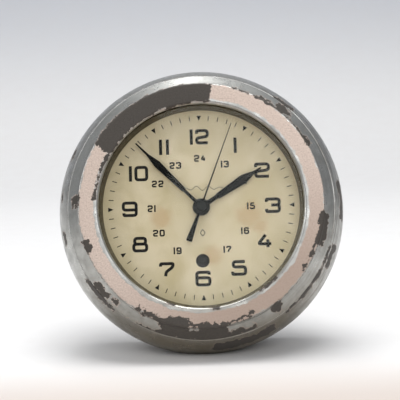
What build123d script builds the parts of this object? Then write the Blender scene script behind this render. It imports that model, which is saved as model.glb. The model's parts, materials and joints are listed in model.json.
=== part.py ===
# Ships deck clock: round plated case with a screwed bezel, a 24 hour dial with
# centre seconds, and an eight day lever movement wound through the dial.
#
# Clock coordinates: X to the right, Y up to the 12, Z along the hands' axis towards
# the front, with Z = 0 at the flat front face of the bezel, so depths are negative.
# The clock stands on a flat under its tapered rear shell and leans back.
import os
from math import atan2, cos, degrees, hypot, radians, sin, sqrt, tan

from build123d import *

# Driving dimensions, in millimetres and degrees
lean = 16.0  # tilt of the hands' axis, and the taper of the rear shell it lies on
foot_cut = 2.0  # depth of the moulded flat under the shells
case_depth = 72.0  # bezel's face to the flat back
widest_depth = 36.0  # bezel's face to the widest plane, where the shells meet
flank_bulge = 7.0  # widest radius over the bezel's edge
rear_round = 30.0  # arc between the widest plane and the taper
back_round = 4.0
shell_wall = 4.5
shell_joint = 0.1  # gap between the two shells and between their bosses

# Bezel, crystal and sight ring
sight_rise = 1.7  # sight ring's inner taper, on radius
sight_wall = 4.9  # sight ring's width at the dial
lip_overhang = 2.9  # lip over the crystal, on radius
lip_round = 1.9
lip_depth = 2.7
face_width = 9.9  # flat front ring
edge_round = 1.2
edge_drop = 2.6
cove_radius = 1.6
inner_skirt = 3.4
bezel_web = 4.6
skirt_wall = 7.1
crease_depth = 10.0
crease_round = 0.5
seal_thickness = 0.4
crystal_thickness = 2.2
crystal_clearance = 0.3
sight_clearance = 0.3  # sight ring to dial
thread_clearance = 0.1
neck_clearance = 0.6
neck_wall = 5.6
neck_lift = 0.4  # neck's end to the bezel's web
seat_gap = 0.3  # bezel's rear edge to the shell's shoulder
gasket_width = 3.5
gasket_rebate = 1.0
gasket_inset = 1.1
gasket_clearance = 0.05

# Dial and hands
dial_depth = 12.5
dial_thickness = 0.6
dial_overlap = 4.0  # dial under the sight ring
dial_clearance = 0.5
dial_centre_hole = 3.4
winding_hole = 4.25
dial_foot_circle = 55.0
dial_foot_radius = 1.0
spacer_wall = 1.6
hour_hand_length = 44.8
minute_hand_length = 57.2
seconds_hand_length = 55.7
seconds_tail_length = 23.1
hour_hand_angle = 57.9  # clockwise from 12
minute_hand_angle = 315.8
seconds_hand_angle = 21.1
hour_hand_lift = 1.1  # dial to the hand's rear face
minute_hand_lift = 2.6
seconds_hand_lift = 4.2
hand_thickness = 0.6
seconds_hand_thickness = 0.4
hour_boss = 5.4
minute_boss = 4.7
seconds_boss = 4.0
cap_height = 1.3
# outlines of the hour and minute hands, as reach and half width
hour_hand_shape = ((0, 1.45), (31.3, 2.95), (39.4, 0.8), (hour_hand_length, 0.45))
minute_hand_shape = ((0, 1.1), (38.3, 2.25), (46.4, 0.75), (minute_hand_length, 0.4))
seconds_hand_half = 0.5  # at the centre
seconds_tip_half = 0.2
seconds_tail_half = 1.9

# Movement frame
motion_room = 5.6  # dial to front plate
plate_thickness = 2.2
plate_gap = 20.2
plate_margin = 0.4  # barrel's teeth to the edge of the back plate
movement_clearance = 0.5
seat_width = 5.5
seat_thickness = 4.0
pillar_radius = 3.2
pillar_inset = 6.0
pillar_angles = (-30.0, 60.0, 120.0, 210.0)
running_fit = 0.04
jewel_fit = 0.03
jewel_radius = 1.1
jewel_thickness = 1.2

# Train: teeth, modules and where each arbor stands
barrel_drop = 33.4  # winding arbor below the centre
barrel_teeth = 72
barrel_module = 0.7
intermediate_leaves = 12
intermediate_teeth = 48
intermediate_module = 0.6
second_leaves = 12
second_teeth = 64
second_module = 0.5
third_leaves = 8
third_teeth = 60
third_module = 0.45
fourth_leaves = 8
fourth_teeth = 80
fourth_module = 0.35
escape_leaves = 8
escape_teeth = 15
escape_radius = 6.5
intermediate_angle = 50.0  # seen from the barrel
escape_angle = 185.0  # seen from the centre
escapement_angle = 155.0  # escape arbor to balance
pallet_distance = 7.5
balance_distance = 12.0
setting_teeth = 36
setting_module = 0.5
cannon_leaves = 12
minute_teeth = 36
cannon_module = 0.5
minute_leaves = 10
hour_teeth = 40
minute_wheel_angle = 180.0

# Wheel crossings
spokes = 5
hub_wall = 1.6
spoke_width = 1.6
motion_rim = 1.5  # rim under the roots of the minute and hour wheels
train_rim = 3  # rim and spoke width of the train wheels, in modules
minute_hub = 3.0

# Screw slots, as shares of the head's height and radius
slot_floor = 0.55
slot_width = 0.35

# Tooth form in modules, and half widths as shares of the pitch, thin for free running
addendum = 0.7
dedendum = 0.9
tooth_form = ((-dedendum, 0.24), (0.0, 0.19), (addendum, 0.12))

# Radii of arbors and pivots
barrel_pivot = 3.0
barrel_hub = 5.5
ratchet_square = 4.2
winding_square = 2.9
intermediate_arbor_radius = 1.25
intermediate_pivot = 0.9
second_arbor_radius = 1.9
second_pivot = 0.8
setting_arbor_radius = 1.4
third_arbor_radius = 0.7
fine_pivot = 0.3
seconds_arbor_radius = 0.55
tube_bore_fit = 0.05
centre_tube_wall = 0.6
cannon_pipe_wall = 0.7
hour_pipe_wall = 0.7

# Layers between the plates, each measured back from the front plate
barrel_layer = (1.4, 15.4)
barrel_tooth_height = 2.4
intermediate_leaf_layer = (1.2, 4.1)
third_wheel_layer = (5.7, 6.5)
fourth_leaf_layer = (5.3, 6.9)
second_wheel_layer = (10.1, 11.1)
third_leaf_layer = (9.7, 11.5)
pallet_stone_layer = (12.9, 14.1)
escape_wheel_layer = (13.1, 13.7)
lever_layer = (14.1, 14.7)
roller_layer = (15.3, 15.9)
second_leaf_layer = (15.9, 17.5)
intermediate_wheel_layer = (16.2, 17.2)
fourth_wheel_layer = (18.4, 19.1)
escape_leaf_layer = (18.0, 19.6)
balance_layer = (17.6, 19.4)

# Motion work in front of the front plate, measured forward from it
setting_layer = (0.5, 1.3)
cannon_leaf_layer = (1.3, 2.9)
minute_wheel_layer = (1.8, 2.6)
minute_leaf_layer = (2.6, 4.2)
hour_wheel_layer = (3.2, 4.0)
ratchet_layer = (0.3, 1.9)

# Everything below is worked out from the values above
lean_cos = cos(radians(lean))
lean_sin = sin(radians(lean))
lean_tan = tan(radians(lean))


def mesh_distance(teeth, leaves, module):
    return module * (teeth + leaves) / 2


def polar(distance, angle, start=(0.0, 0.0)):
    return (start[0] + distance * cos(radians(angle)), start[1] + distance * sin(radians(angle)))


def third_corner(first, first_distance, second, second_distance):
    """Point at two distances from two others, on the left of the line between them."""
    span_x = second[0] - first[0]
    span_y = second[1] - first[1]
    span = hypot(span_x, span_y)
    along = (first_distance**2 - second_distance**2 + span**2) / (2 * span)
    aside = sqrt(first_distance**2 - along**2)
    return (
        first[0] + (along * span_x - aside * span_y) / span,
        first[1] + (along * span_y + aside * span_x) / span,
    )


def direction(start, end):
    return degrees(atan2(end[1] - start[1], end[0] - start[0]))


def mesh_turn(angle, teeth, turn, other_teeth):
    """Turn that puts a gear in mesh with one standing at the given turn, angle away."""
    phase = (angle - turn) * teeth / 360
    return angle + 180 - (0.5 - phase) * 360 / other_teeth


# Arbor places on the plates
centre_spot = (0.0, 0.0)
barrel_spot = (0.0, -barrel_drop)
intermediate_spot = polar(
    mesh_distance(barrel_teeth, intermediate_leaves, barrel_module), intermediate_angle, barrel_spot
)
setting_distance = setting_module * setting_teeth
second_spot = third_corner(
    centre_spot,
    setting_distance,
    intermediate_spot,
    mesh_distance(intermediate_teeth, second_leaves, intermediate_module),
)
third_spot = third_corner(
    centre_spot,
    mesh_distance(third_teeth, fourth_leaves, third_module),
    second_spot,
    mesh_distance(second_teeth, third_leaves, second_module),
)
escape_spot = polar(mesh_distance(fourth_teeth, escape_leaves, fourth_module), escape_angle)
pallet_spot = polar(pallet_distance, escapement_angle, escape_spot)
balance_spot = polar(balance_distance, escapement_angle, pallet_spot)
motion_distance = mesh_distance(minute_teeth, cannon_leaves, cannon_module)
minute_spot = polar(motion_distance, minute_wheel_angle)
hour_module = 2 * motion_distance / (minute_leaves + hour_teeth)

# Turns that put each pinion in mesh with the wheel that drives it
intermediate_turn = mesh_turn(intermediate_angle, barrel_teeth, 0, intermediate_leaves)
second_turn = mesh_turn(direction(intermediate_spot, second_spot), intermediate_teeth, 0, second_leaves)
third_turn = mesh_turn(direction(second_spot, third_spot), second_teeth, 0, third_leaves)
fourth_turn = mesh_turn(direction(third_spot, centre_spot), third_teeth, 0, fourth_leaves)
escape_turn = mesh_turn(escape_angle, fourth_teeth, 0, escape_leaves)
cannon_wheel_turn = mesh_turn(direction(second_spot, centre_spot), setting_teeth, 0, setting_teeth)
minute_turn = mesh_turn(minute_wheel_angle, cannon_leaves, 0, minute_teeth)
hour_turn = mesh_turn(direction(minute_spot, centre_spot), minute_leaves, 0, hour_teeth)

# Movement and case radii, from the barrel outwards
barrel_tip = barrel_module * (barrel_teeth / 2 + addendum)
barrel_root = barrel_module * (barrel_teeth / 2 - dedendum)
back_plate_radius = barrel_drop + barrel_tip + plate_margin
seat_bore = back_plate_radius + movement_clearance
front_plate_radius = seat_bore + seat_width
plate_bore = front_plate_radius + dial_clearance / 2
dial_radius = plate_bore - dial_clearance
sight_radius = dial_radius - dial_overlap
bezel_bore = sight_radius + sight_wall
lip_radius = bezel_bore - lip_overhang
face_inner = lip_radius + lip_round
face_outer = face_inner + face_width
inner_skirt_radius = bezel_bore + inner_skirt
neck_bore = inner_skirt_radius + neck_clearance
neck_radius = neck_bore + neck_wall
bezel_thread = neck_radius + thread_clearance
crease_radius = bezel_thread + skirt_wall
case_radius = crease_radius + flank_bulge

# Depths of the main planes
shoulder_z = -(crease_depth + seat_gap)
neck_z = -(bezel_web + neck_lift)
widest_z = -widest_depth
back_z = -case_depth
back_inner_z = back_z + shell_wall
seal_z = -lip_depth - seal_thickness
crystal_z = seal_z - crystal_thickness
dial_z = -dial_depth
dial_back_z = dial_z - dial_thickness
sight_z = dial_z + sight_clearance
front_plate_z = dial_back_z - motion_room  # front face of the front plate
train_z = front_plate_z - plate_thickness  # its rear face
back_plate_z = train_z - plate_gap  # front face of the back plate
rear_z = back_plate_z - plate_thickness  # its rear face

# The flank's arc, upright at the widest plane and meeting the bezel's edge
flank_height = widest_depth + shoulder_z
flank_radius = (flank_bulge**2 + flank_height**2) / (2 * flank_bulge)
flank_centre = case_radius - flank_radius
taper_radius = case_radius - rear_round * (1 - lean_cos)
taper_z = widest_z - rear_round * lean_sin


def taper_at(z, wall=0.0):
    """Radius of the rear shell's taper at a depth, or of its inside at a wall's thickness."""
    return taper_radius - (taper_z - z) * lean_tan - wall / lean_cos


# Row frame: the clock stands on the flat, centred over its own box
axis_height = taper_radius * lean_cos - taper_z * lean_sin - foot_cut
front_reach = face_outer * lean_sin - edge_round * lean_cos + edge_round
back_round_z = back_z + back_round
rear_reach = taper_at(back_round_z, back_round) * lean_sin - back_round_z * lean_cos + back_round
clock = Plane(
    origin=(0, (front_reach - rear_reach) / 2, axis_height),
    x_dir=(1, 0, 0),
    z_dir=(0, -lean_cos, lean_sin),
)


def dial_plane(spot=centre_spot, z=0.0, turn=0.0):
    """Plane parallel to the dial, at a place on the clock, its X axis turned."""
    origin = clock.from_local_coords((spot[0], spot[1], z))
    x_dir = clock.x_dir * cos(radians(turn)) + clock.y_dir * sin(radians(turn))
    return Plane(origin=origin, x_dir=x_dir, z_dir=clock.z_dir)


def rear_plane(spot, z):
    """Plane parallel to the dial that faces the back."""
    origin = clock.from_local_coords((spot[0], spot[1], z))
    return Plane(origin=origin, x_dir=clock.x_dir, z_dir=-clock.z_dir)


def section_plane(spot=centre_spot):
    """Plane through an arbor's axis: its X is the radius, its Y the clock's Z."""
    origin = clock.from_local_coords((spot[0], spot[1], 0))
    return Plane(origin=origin, x_dir=clock.x_dir, z_dir=-clock.y_dir)


def arbor_axis(spot=centre_spot):
    return Axis(clock.from_local_coords((spot[0], spot[1], 0)), clock.z_dir)


def behind(layer):
    """A layer between the plates, as its rear and front depth."""
    return (train_z - layer[1], train_z - layer[0])


def ahead(layer):
    """A layer in front of the front plate, as its rear and front depth."""
    return (front_plate_z + layer[0], front_plate_z + layer[1])


def disc(span, radius, bore=0.0, spot=centre_spot, mode=Mode.ADD):
    """Round plate between two depths, with a bore."""
    with BuildSketch(dial_plane(spot, span[0])) as shape:
        Circle(radius)
        if bore > 0:
            Circle(bore, mode=Mode.SUBTRACT)
    extrude(shape.sketch, amount=span[1] - span[0], mode=mode)


def turned(outline, spot=centre_spot):
    """Revolve a closed outline of radius and depth corners about an arbor's axis."""
    with BuildSketch(section_plane(spot)) as shape:
        with BuildLine():
            Polyline(*outline, close=True)
        make_face()
    revolve(shape.sketch, axis=arbor_axis(spot))


def stepped_arbor(spot, start, steps):
    """Turned arbor: from its rear end forward, each step is its end depth and radius."""
    outline = [(0.0, start)]
    low = start
    for high, radius in steps:
        outline += [(radius, low), (radius, high)]
        low = high
    outline.append((0.0, low))
    turned(outline, spot)


def toothed(spot, span, teeth, module, turn=0.0):
    """Solid toothed disc, the middle of its first tooth at the turn."""
    corners = []
    for tooth in range(teeth):
        sides = [(depth, -half) for depth, half in tooth_form]
        sides += [(depth, half) for depth, half in reversed(tooth_form)]
        for depth, half in sides:
            corners.append(polar(module * (teeth / 2 + depth), turn + (tooth + half) * 360 / teeth))
    with BuildSketch(dial_plane(spot, span[0])) as shape:
        with BuildLine():
            Polyline(*corners, close=True)
        make_face()
    extrude(shape.sketch, amount=span[1] - span[0])


def crossings(spot, span, rim, hub, arms, arm_width):
    """Cut the windows between the spokes of a wheel."""
    with BuildSketch(dial_plane(spot, span[0])) as shape:
        Circle(rim)
        Circle(hub, mode=Mode.SUBTRACT)
        with PolarLocations(0, arms):
            Rectangle(rim, arm_width, align=(Align.MIN, Align.CENTER), mode=Mode.SUBTRACT)
    extrude(shape.sketch, amount=span[1] - span[0], mode=Mode.SUBTRACT)


def train_wheel(spot, span, teeth, module, bore, turn=0.0):
    """Brass wheel with five spokes, bored to sit on its arbor."""
    toothed(spot, span, teeth, module, turn)
    root = module * (teeth / 2 - dedendum)
    rim = train_rim * module
    crossings(spot, span, root - rim, bore + hub_wall, spokes, rim)
    disc(span, bore, spot=spot, mode=Mode.SUBTRACT)


def slotted_screw(plane, shank, length, head, height):
    """Screw whose head stands on a plane and whose shank goes down through it."""
    with BuildSketch(plane) as shape:
        Circle(shank)
    extrude(shape.sketch, amount=-length)
    with BuildSketch(plane) as shape:
        Circle(head)
    extrude(shape.sketch, amount=height)
    with BuildSketch(plane.offset(height * slot_floor)) as shape:
        Rectangle((2 + slot_width) * head, slot_width * head)
    extrude(shape.sketch, amount=height, mode=Mode.SUBTRACT)


def spiral(spot, span, inner, outer, coils, strip):
    """Flat strip wound from an inner to an outer radius of its middle line."""
    steps = 24 * coils
    near = []
    far = []
    for step in range(steps + 1):
        radius = inner + (outer - inner) * step / steps
        near.append(polar(radius - strip / 2, 15 * step))
        far.append(polar(radius + strip / 2, 15 * step))
    with BuildSketch(dial_plane(spot, span[0])) as shape:
        with BuildLine():
            Polyline(*near, *reversed(far), close=True)
        make_face()
    extrude(shape.sketch, amount=span[1] - span[0])


pieces = {}

# ---- Case ----
spigot_wall = 1.8
spigot_height = 2.5
joint_seal_thickness = 0.6
case_boss = 4.5
case_boss_gap = 2.0  # bosses to the back plate
case_boss_circle = back_plate_radius + case_boss + case_boss_gap
case_screw = 2.0
case_screw_head = 3.6
case_screw_head_height = 2.8
case_screw_cap = 2.0  # boss left solid ahead of the screw's hole
case_screw_end_gap = 2.7  # screw's end to the bottom of its hole
counterbore_depth = 3.4
screw_clearance = 0.2
movement_screw = 1.5
movement_screw_head = 2.5
movement_screw_circle = seat_bore + seat_width / 2
insert_circle = 50.0
insert_radius = 3.5
insert_thread = 2.1
insert_length = 8.0
insert_boss = 6.0
insert_floor = 1.5  # boss left solid over an insert
seat_floor = 0.8  # seat left solid under a movement screw
gasket_outer = crease_radius - gasket_inset
gasket_inner = gasket_outer - gasket_width
spigot_inner = case_radius - shell_wall
spigot_outer = spigot_inner + spigot_wall
spigot_top = widest_z + spigot_height
seat_z = train_z
web_z = seat_z - seat_thickness
hollow_z = shoulder_z - shell_wall
case_screw_hole_z = web_z - case_screw_cap
counterbore_z = back_z + counterbore_depth
case_screw_length = case_screw_hole_z - case_screw_end_gap - counterbore_z
case_spots = [polar(case_boss_circle, angle) for angle in (45, 135, 225, 315)]
insert_spots = [polar(insert_circle, angle) for angle in (90, 210, 330)]
seat_spots = [polar(movement_screw_circle, angle) for angle in (90, 210, 330)]

with BuildPart() as front_shell:
    # neck, seat for the front plate and the flank down to the widest plane
    inner_flank = flank_radius - shell_wall
    flank_top = flank_centre + sqrt(inner_flank**2 - (hollow_z - widest_z) ** 2)
    with BuildSketch(section_plane()):
        with BuildLine():
            Polyline(
                (flank_top, hollow_z),
                (plate_bore + shell_wall, hollow_z),
                (plate_bore + shell_wall, web_z),
                (seat_bore, web_z),
                (seat_bore, seat_z),
                (plate_bore, seat_z),
                (plate_bore, dial_z),
                (neck_bore, dial_z),
                (neck_bore, neck_z),
                (neck_radius, neck_z),
                (neck_radius, shoulder_z),
                (crease_radius, shoulder_z),
            )
            RadiusArc((crease_radius, shoulder_z), (case_radius, widest_z), flank_radius)
            Line((case_radius, widest_z), (spigot_inner, widest_z))
            RadiusArc((spigot_inner, widest_z), (flank_top, hollow_z), -inner_flank)
        make_face()
    revolve(axis=arbor_axis())
    # rebates for the bezel's gasket and for the rear shell's spigot and seal
    rebate_z = shoulder_z - gasket_rebate
    disc(
        (rebate_z, shoulder_z),
        gasket_outer + gasket_clearance,
        gasket_inner - gasket_clearance,
        mode=Mode.SUBTRACT,
    )
    disc(
        (widest_z, spigot_top + joint_seal_thickness),
        spigot_outer + shell_joint,
        spigot_inner - spigot_wall,
        mode=Mode.SUBTRACT,
    )
    # bosses that the long case screws enter
    for spot in case_spots:
        disc((widest_z + shell_joint, web_z), case_boss, spot=spot)
    for spot in case_spots:
        disc((widest_z, case_screw_hole_z), case_screw, spot=spot, mode=Mode.SUBTRACT)
    for spot in seat_spots:
        disc((web_z + seat_floor, seat_z), movement_screw, spot=spot, mode=Mode.SUBTRACT)
    split(bisect_by=Plane.XY, keep=Keep.TOP)
pieces["front_shell"] = front_shell

with BuildPart() as rear_shell:
    inner_round = rear_round - shell_wall
    taper_inner_z = widest_z - inner_round * lean_sin
    joint_z = widest_z - shell_joint
    with BuildSketch(section_plane()) as rear_profile:
        with BuildLine():
            Polyline(
                (taper_radius, taper_z),
                (taper_at(back_z), back_z),
                (0, back_z),
                (0, back_inner_z),
                (taper_at(back_inner_z, shell_wall), back_inner_z),
                (taper_at(taper_inner_z, shell_wall), taper_inner_z),
            )
            RadiusArc(
                (taper_at(taper_inner_z, shell_wall), taper_inner_z),
                (spigot_inner, widest_z),
                -inner_round,
            )
            Polyline(
                (spigot_inner, widest_z),
                (spigot_inner, spigot_top),
                (spigot_outer, spigot_top),
                (spigot_outer, widest_z),
                (case_radius, widest_z),
            )
            RadiusArc((case_radius, widest_z), (taper_radius, taper_z), rear_round)
        make_face()
        outer_corner = rear_profile.vertices().sort_by_distance((taper_at(back_z), back_z))[0]
        fillet(outer_corner, back_round)
        inner_corner = rear_profile.vertices().sort_by_distance(
            (taper_at(back_inner_z, shell_wall), back_inner_z)
        )[0]
        fillet(inner_corner, back_round / 2)
    revolve(axis=arbor_axis())
    disc((joint_z, widest_z), case_radius + shell_wall, spigot_outer, mode=Mode.SUBTRACT)
    for spot in case_spots:
        disc((back_inner_z, joint_z), case_boss, spot=spot)
        disc((back_z + insert_length, back_inner_z), case_boss, spot=spot)
    for spot in insert_spots:
        disc((back_inner_z, back_z + insert_length + insert_floor), insert_boss, spot=spot)
    for spot in case_spots:
        disc((back_z, joint_z), case_screw + screw_clearance, spot=spot, mode=Mode.SUBTRACT)
        disc(
            (back_z, counterbore_z),
            case_screw_head + screw_clearance * 2,
            spot=spot,
            mode=Mode.SUBTRACT,
        )
    for spot in insert_spots:
        disc((back_z, back_z + insert_length), insert_radius, spot=spot, mode=Mode.SUBTRACT)
    split(bisect_by=Plane.XY, keep=Keep.TOP)
pieces["rear_shell"] = rear_shell

with BuildPart() as shell_seal:
    disc((spigot_top, spigot_top + joint_seal_thickness), spigot_outer, spigot_inner)
pieces["shell_seal"] = shell_seal

with BuildPart() as case_screws:
    for spot in case_spots:
        head_plane = rear_plane(spot, counterbore_z)
        slotted_screw(
            head_plane, case_screw, case_screw_length, case_screw_head, case_screw_head_height
        )
pieces["case_screws"] = case_screws

with BuildPart() as back_inserts:
    for spot in insert_spots:
        disc((back_z, back_z + insert_length), insert_radius, insert_thread, spot)
pieces["back_inserts"] = back_inserts

# ---- Bezel ----
with BuildPart() as bezel:
    cove_centre = (face_outer + edge_round + cove_radius, -edge_drop)
    cove_end = polar(cove_radius, 225, cove_centre)
    with BuildSketch(section_plane()):
        with BuildLine():
            CenterArc((face_inner, -lip_round), lip_round, 90, 90)
            Line((face_inner, 0), (face_outer, 0))
            CenterArc((face_outer, -edge_round), edge_round, 0, 90)
            Line((face_outer + edge_round, -edge_round), (face_outer + edge_round, -edge_drop))
            CenterArc(cove_centre, cove_radius, 180, 45)
            Polyline(
                cove_end,
                (crease_radius - crease_round / 2, crease_round / 2 - crease_depth),
                (crease_radius - crease_round, -crease_depth),
                (bezel_thread, -crease_depth),
                (bezel_thread, -bezel_web),
                (inner_skirt_radius, -bezel_web),
                (inner_skirt_radius, sight_z),
                (bezel_bore, sight_z),
                (bezel_bore, -lip_depth),
                (lip_radius, -lip_depth),
                (lip_radius, -lip_round),
            )
        make_face()
    revolve(axis=arbor_axis())
pieces["bezel"] = bezel

with BuildPart() as bezel_gasket:
    gasket_span = (rebate_z + gasket_clearance, -crease_depth - gasket_clearance)
    disc(gasket_span, gasket_outer, gasket_inner)
pieces["bezel_gasket"] = bezel_gasket

with BuildPart() as crystal_seal:
    disc((seal_z, -lip_depth), bezel_bore - crystal_clearance, lip_radius + crystal_clearance)
pieces["crystal_seal"] = crystal_seal

with BuildPart() as crystal:
    disc((crystal_z, seal_z), bezel_bore - crystal_clearance)
    chamfer(crystal.faces().sort_by(arbor_axis()).last.edges(), crystal_clearance)
pieces["crystal"] = crystal

with BuildPart() as sight_ring:
    turned(
        (
            (sight_radius + sight_rise, crystal_z),
            (bezel_bore, crystal_z),
            (bezel_bore, sight_z),
            (sight_radius, sight_z),
        )
    )
pieces["sight_ring"] = sight_ring

# ---- Dial ----
foot_spots = [polar(dial_foot_circle, angle) for angle in (30, 150, 270)]
foot_recess = 0.4  # foot's end inside the front plate
foot_end = train_z + foot_recess
spacer_fit = 0.05

with BuildPart() as dial:
    disc((dial_back_z, dial_z), dial_radius, dial_centre_hole)
    disc((dial_back_z, dial_z), winding_hole, spot=barrel_spot, mode=Mode.SUBTRACT)
    for spot in foot_spots:
        disc((foot_end, dial_back_z), dial_foot_radius, spot=spot)
pieces["dial"] = dial

with BuildPart() as dial_spacers:
    for spot in foot_spots:
        bore = dial_foot_radius + spacer_fit
        disc((front_plate_z, dial_back_z), bore + spacer_wall, bore, spot)
pieces["dial_spacers"] = dial_spacers

# ---- Movement frame ----
pillar_circle = back_plate_radius - pillar_inset
pillar_spots = [polar(pillar_circle, angle) for angle in pillar_angles]
pillar_screw = 1.25
pillar_screw_head = 2.4
pillar_screw_head_height = 1.4
pillar_screw_depth = 4.0
screw_end_gap = 0.5
seat_end_gap = 0.4
tube_recess = 0.4  # tube's end behind the minute hand
tube_flange = 1.2
tube_flange_height = 1.0
post_radius = 0.8
post_recess = 0.4  # post's end inside the front plate
post_rise = 0.3  # post beyond the minute wheel
post_gap = 0.2  # post's shoulder to the minute wheel
post_shoulder_width = 1.0
click_screw_radius = 1.5
click_thread = 1.0
cock_screw = 1.5
cock_foot = 6.0
cock_reach = 17.0
cock_angle = 140.0
tube_bore = seconds_arbor_radius + tube_bore_fit
tube_radius = tube_bore + centre_tube_wall
cannon_bore = tube_radius + tube_bore_fit
cannon_pipe = cannon_bore + cannon_pipe_wall
hour_bore = cannon_pipe + tube_bore_fit
hour_pipe = hour_bore + hour_pipe_wall
ratchet_radius = 9.0
ratchet_depth = 0.9
ratchet_teeth = 30
saw_lean = 0.9  # tip's place along its tooth's pitch
click_reach = 14.0
click_angle = 150.0
click_nose_angle = 118.0
click_nose = 0.5
click_clearance = 0.1
click_pivot_fit = 0.05
click_spot = polar(click_reach, click_angle, barrel_spot)
nose_spot = polar(ratchet_radius + click_clearance + click_nose, click_nose_angle, barrel_spot)
cock_spot = polar(cock_reach, cock_angle, balance_spot)
balance_opening = 9.6

# Jewel holes: place, pivot radius, and whether it is in the front or back plate or the cock
balance_pivot = 0.25
front_jewels = ((third_spot, fine_pivot), (escape_spot, fine_pivot), (pallet_spot, fine_pivot))
front_jewels += ((balance_spot, balance_pivot),)
back_jewels = ((third_spot, fine_pivot), (centre_spot, fine_pivot))
back_jewels += ((escape_spot, fine_pivot), (pallet_spot, fine_pivot))

with BuildPart() as front_plate:
    front_span = (train_z, front_plate_z)
    disc(front_span, front_plate_radius)
    disc(front_span, barrel_pivot + running_fit, spot=barrel_spot, mode=Mode.SUBTRACT)
    disc(front_span, intermediate_pivot + running_fit, spot=intermediate_spot, mode=Mode.SUBTRACT)
    disc(front_span, setting_arbor_radius + running_fit, spot=second_spot, mode=Mode.SUBTRACT)
    disc(front_span, tube_radius, mode=Mode.SUBTRACT)
    disc(front_span, post_radius, spot=minute_spot, mode=Mode.SUBTRACT)
    disc(front_span, click_thread, spot=click_spot, mode=Mode.SUBTRACT)
    for spot, pivot in front_jewels:
        disc(front_span, jewel_radius, spot=spot, mode=Mode.SUBTRACT)
    for spot in foot_spots:
        disc(front_span, dial_foot_radius, spot=spot, mode=Mode.SUBTRACT)
    for spot in pillar_spots:
        disc(front_span, pillar_screw, spot=spot, mode=Mode.SUBTRACT)
    for spot in seat_spots:
        disc(front_span, movement_screw, spot=spot, mode=Mode.SUBTRACT)
pieces["front_plate"] = front_plate

with BuildPart() as back_plate:
    back_span = (rear_z, back_plate_z)
    disc(back_span, back_plate_radius)
    disc(back_span, barrel_pivot + running_fit, spot=barrel_spot, mode=Mode.SUBTRACT)
    disc(back_span, intermediate_pivot + running_fit, spot=intermediate_spot, mode=Mode.SUBTRACT)
    disc(back_span, second_pivot + running_fit, spot=second_spot, mode=Mode.SUBTRACT)
    disc(back_span, balance_opening, spot=balance_spot, mode=Mode.SUBTRACT)
    disc(back_span, cock_screw, spot=cock_spot, mode=Mode.SUBTRACT)
    for spot, pivot in back_jewels:
        disc(back_span, jewel_radius, spot=spot, mode=Mode.SUBTRACT)
    for spot in pillar_spots:
        disc(back_span, pillar_screw, spot=spot, mode=Mode.SUBTRACT)
pieces["back_plate"] = back_plate

with BuildPart() as pillars:
    for spot in pillar_spots:
        disc((back_plate_z, train_z), pillar_radius, spot=spot)
    for spot in pillar_spots:
        disc((train_z - pillar_screw_depth, train_z), pillar_screw, spot=spot, mode=Mode.SUBTRACT)
        low_end = (back_plate_z, back_plate_z + pillar_screw_depth)
        disc(low_end, pillar_screw, spot=spot, mode=Mode.SUBTRACT)
pieces["pillars"] = pillars

with BuildPart() as pillar_screws:
    pillar_screw_length = plate_thickness + pillar_screw_depth - screw_end_gap
    for spot in pillar_spots:
        for plane in (dial_plane(spot, front_plate_z), rear_plane(spot, rear_z)):
            slotted_screw(
                plane, pillar_screw, pillar_screw_length, pillar_screw_head, pillar_screw_head_height
            )
pieces["pillar_screws"] = pillar_screws

with BuildPart() as movement_screws:
    seat_screw_length = plate_thickness + seat_thickness - seat_floor - seat_end_gap
    for spot in seat_spots:
        slotted_screw(
            dial_plane(spot, front_plate_z),
            movement_screw,
            seat_screw_length,
            movement_screw_head,
            pillar_screw_head_height,
        )
pieces["movement_screws"] = movement_screws

with BuildPart() as centre_tube:
    tube_top = dial_z + minute_hand_lift - tube_recess
    disc((train_z, tube_top), tube_radius, tube_bore)
    disc((train_z - tube_flange_height, train_z), tube_radius + tube_flange, tube_bore)
pieces["centre_tube"] = centre_tube

with BuildPart() as minute_wheel_post:
    disc((train_z + post_recess, ahead(minute_leaf_layer)[1] + post_rise), post_radius, spot=minute_spot)
    post_shoulder = (front_plate_z, ahead(minute_wheel_layer)[0] - post_gap)
    disc(post_shoulder, post_radius + post_shoulder_width, spot=minute_spot)
pieces["minute_wheel_post"] = minute_wheel_post

# ---- Winding work ----
barrel_span = behind(barrel_layer)
drum_wall = 1.3
drum_floor = 1.8
cover_thickness = 1.2
cover_rebate = 0.5
drum_step = 1.0  # drum inside the roots of its teeth
drum_radius = barrel_root - drum_step
drum_bore = drum_radius - drum_wall
spring_room = (barrel_span[0] + cover_thickness, barrel_span[1] - drum_floor)
ratchet_span = ahead(ratchet_layer)
arbor_tail = 0.8  # winding arbor behind the back plate
hub_gap = 0.2  # hub to the drum's floor and cover
square_rise = 0.3  # ratchet's square over the ratchet wheel
winding_recess = 0.4  # winding square's end behind the dial
winding_chamfer = 0.3
winding_end = dial_z - winding_recess

with BuildPart() as barrel_arbor:
    stepped_arbor(
        barrel_spot,
        rear_z - arbor_tail,
        (
            (spring_room[0] + hub_gap, barrel_pivot),
            (spring_room[1] - hub_gap, barrel_hub),
            (ratchet_span[0], barrel_pivot),
        ),
    )
    with BuildSketch(dial_plane(barrel_spot, ratchet_span[0])):
        Rectangle(ratchet_square, ratchet_square)
    extrude(amount=ratchet_span[1] - ratchet_span[0] + square_rise)
    with BuildSketch(dial_plane(barrel_spot, ratchet_span[1])):
        Rectangle(winding_square, winding_square)
    extrude(amount=winding_end - ratchet_span[1])
    chamfer(barrel_arbor.faces().sort_by(arbor_axis()).last.edges(), winding_chamfer)
pieces["barrel_arbor"] = barrel_arbor

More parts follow.
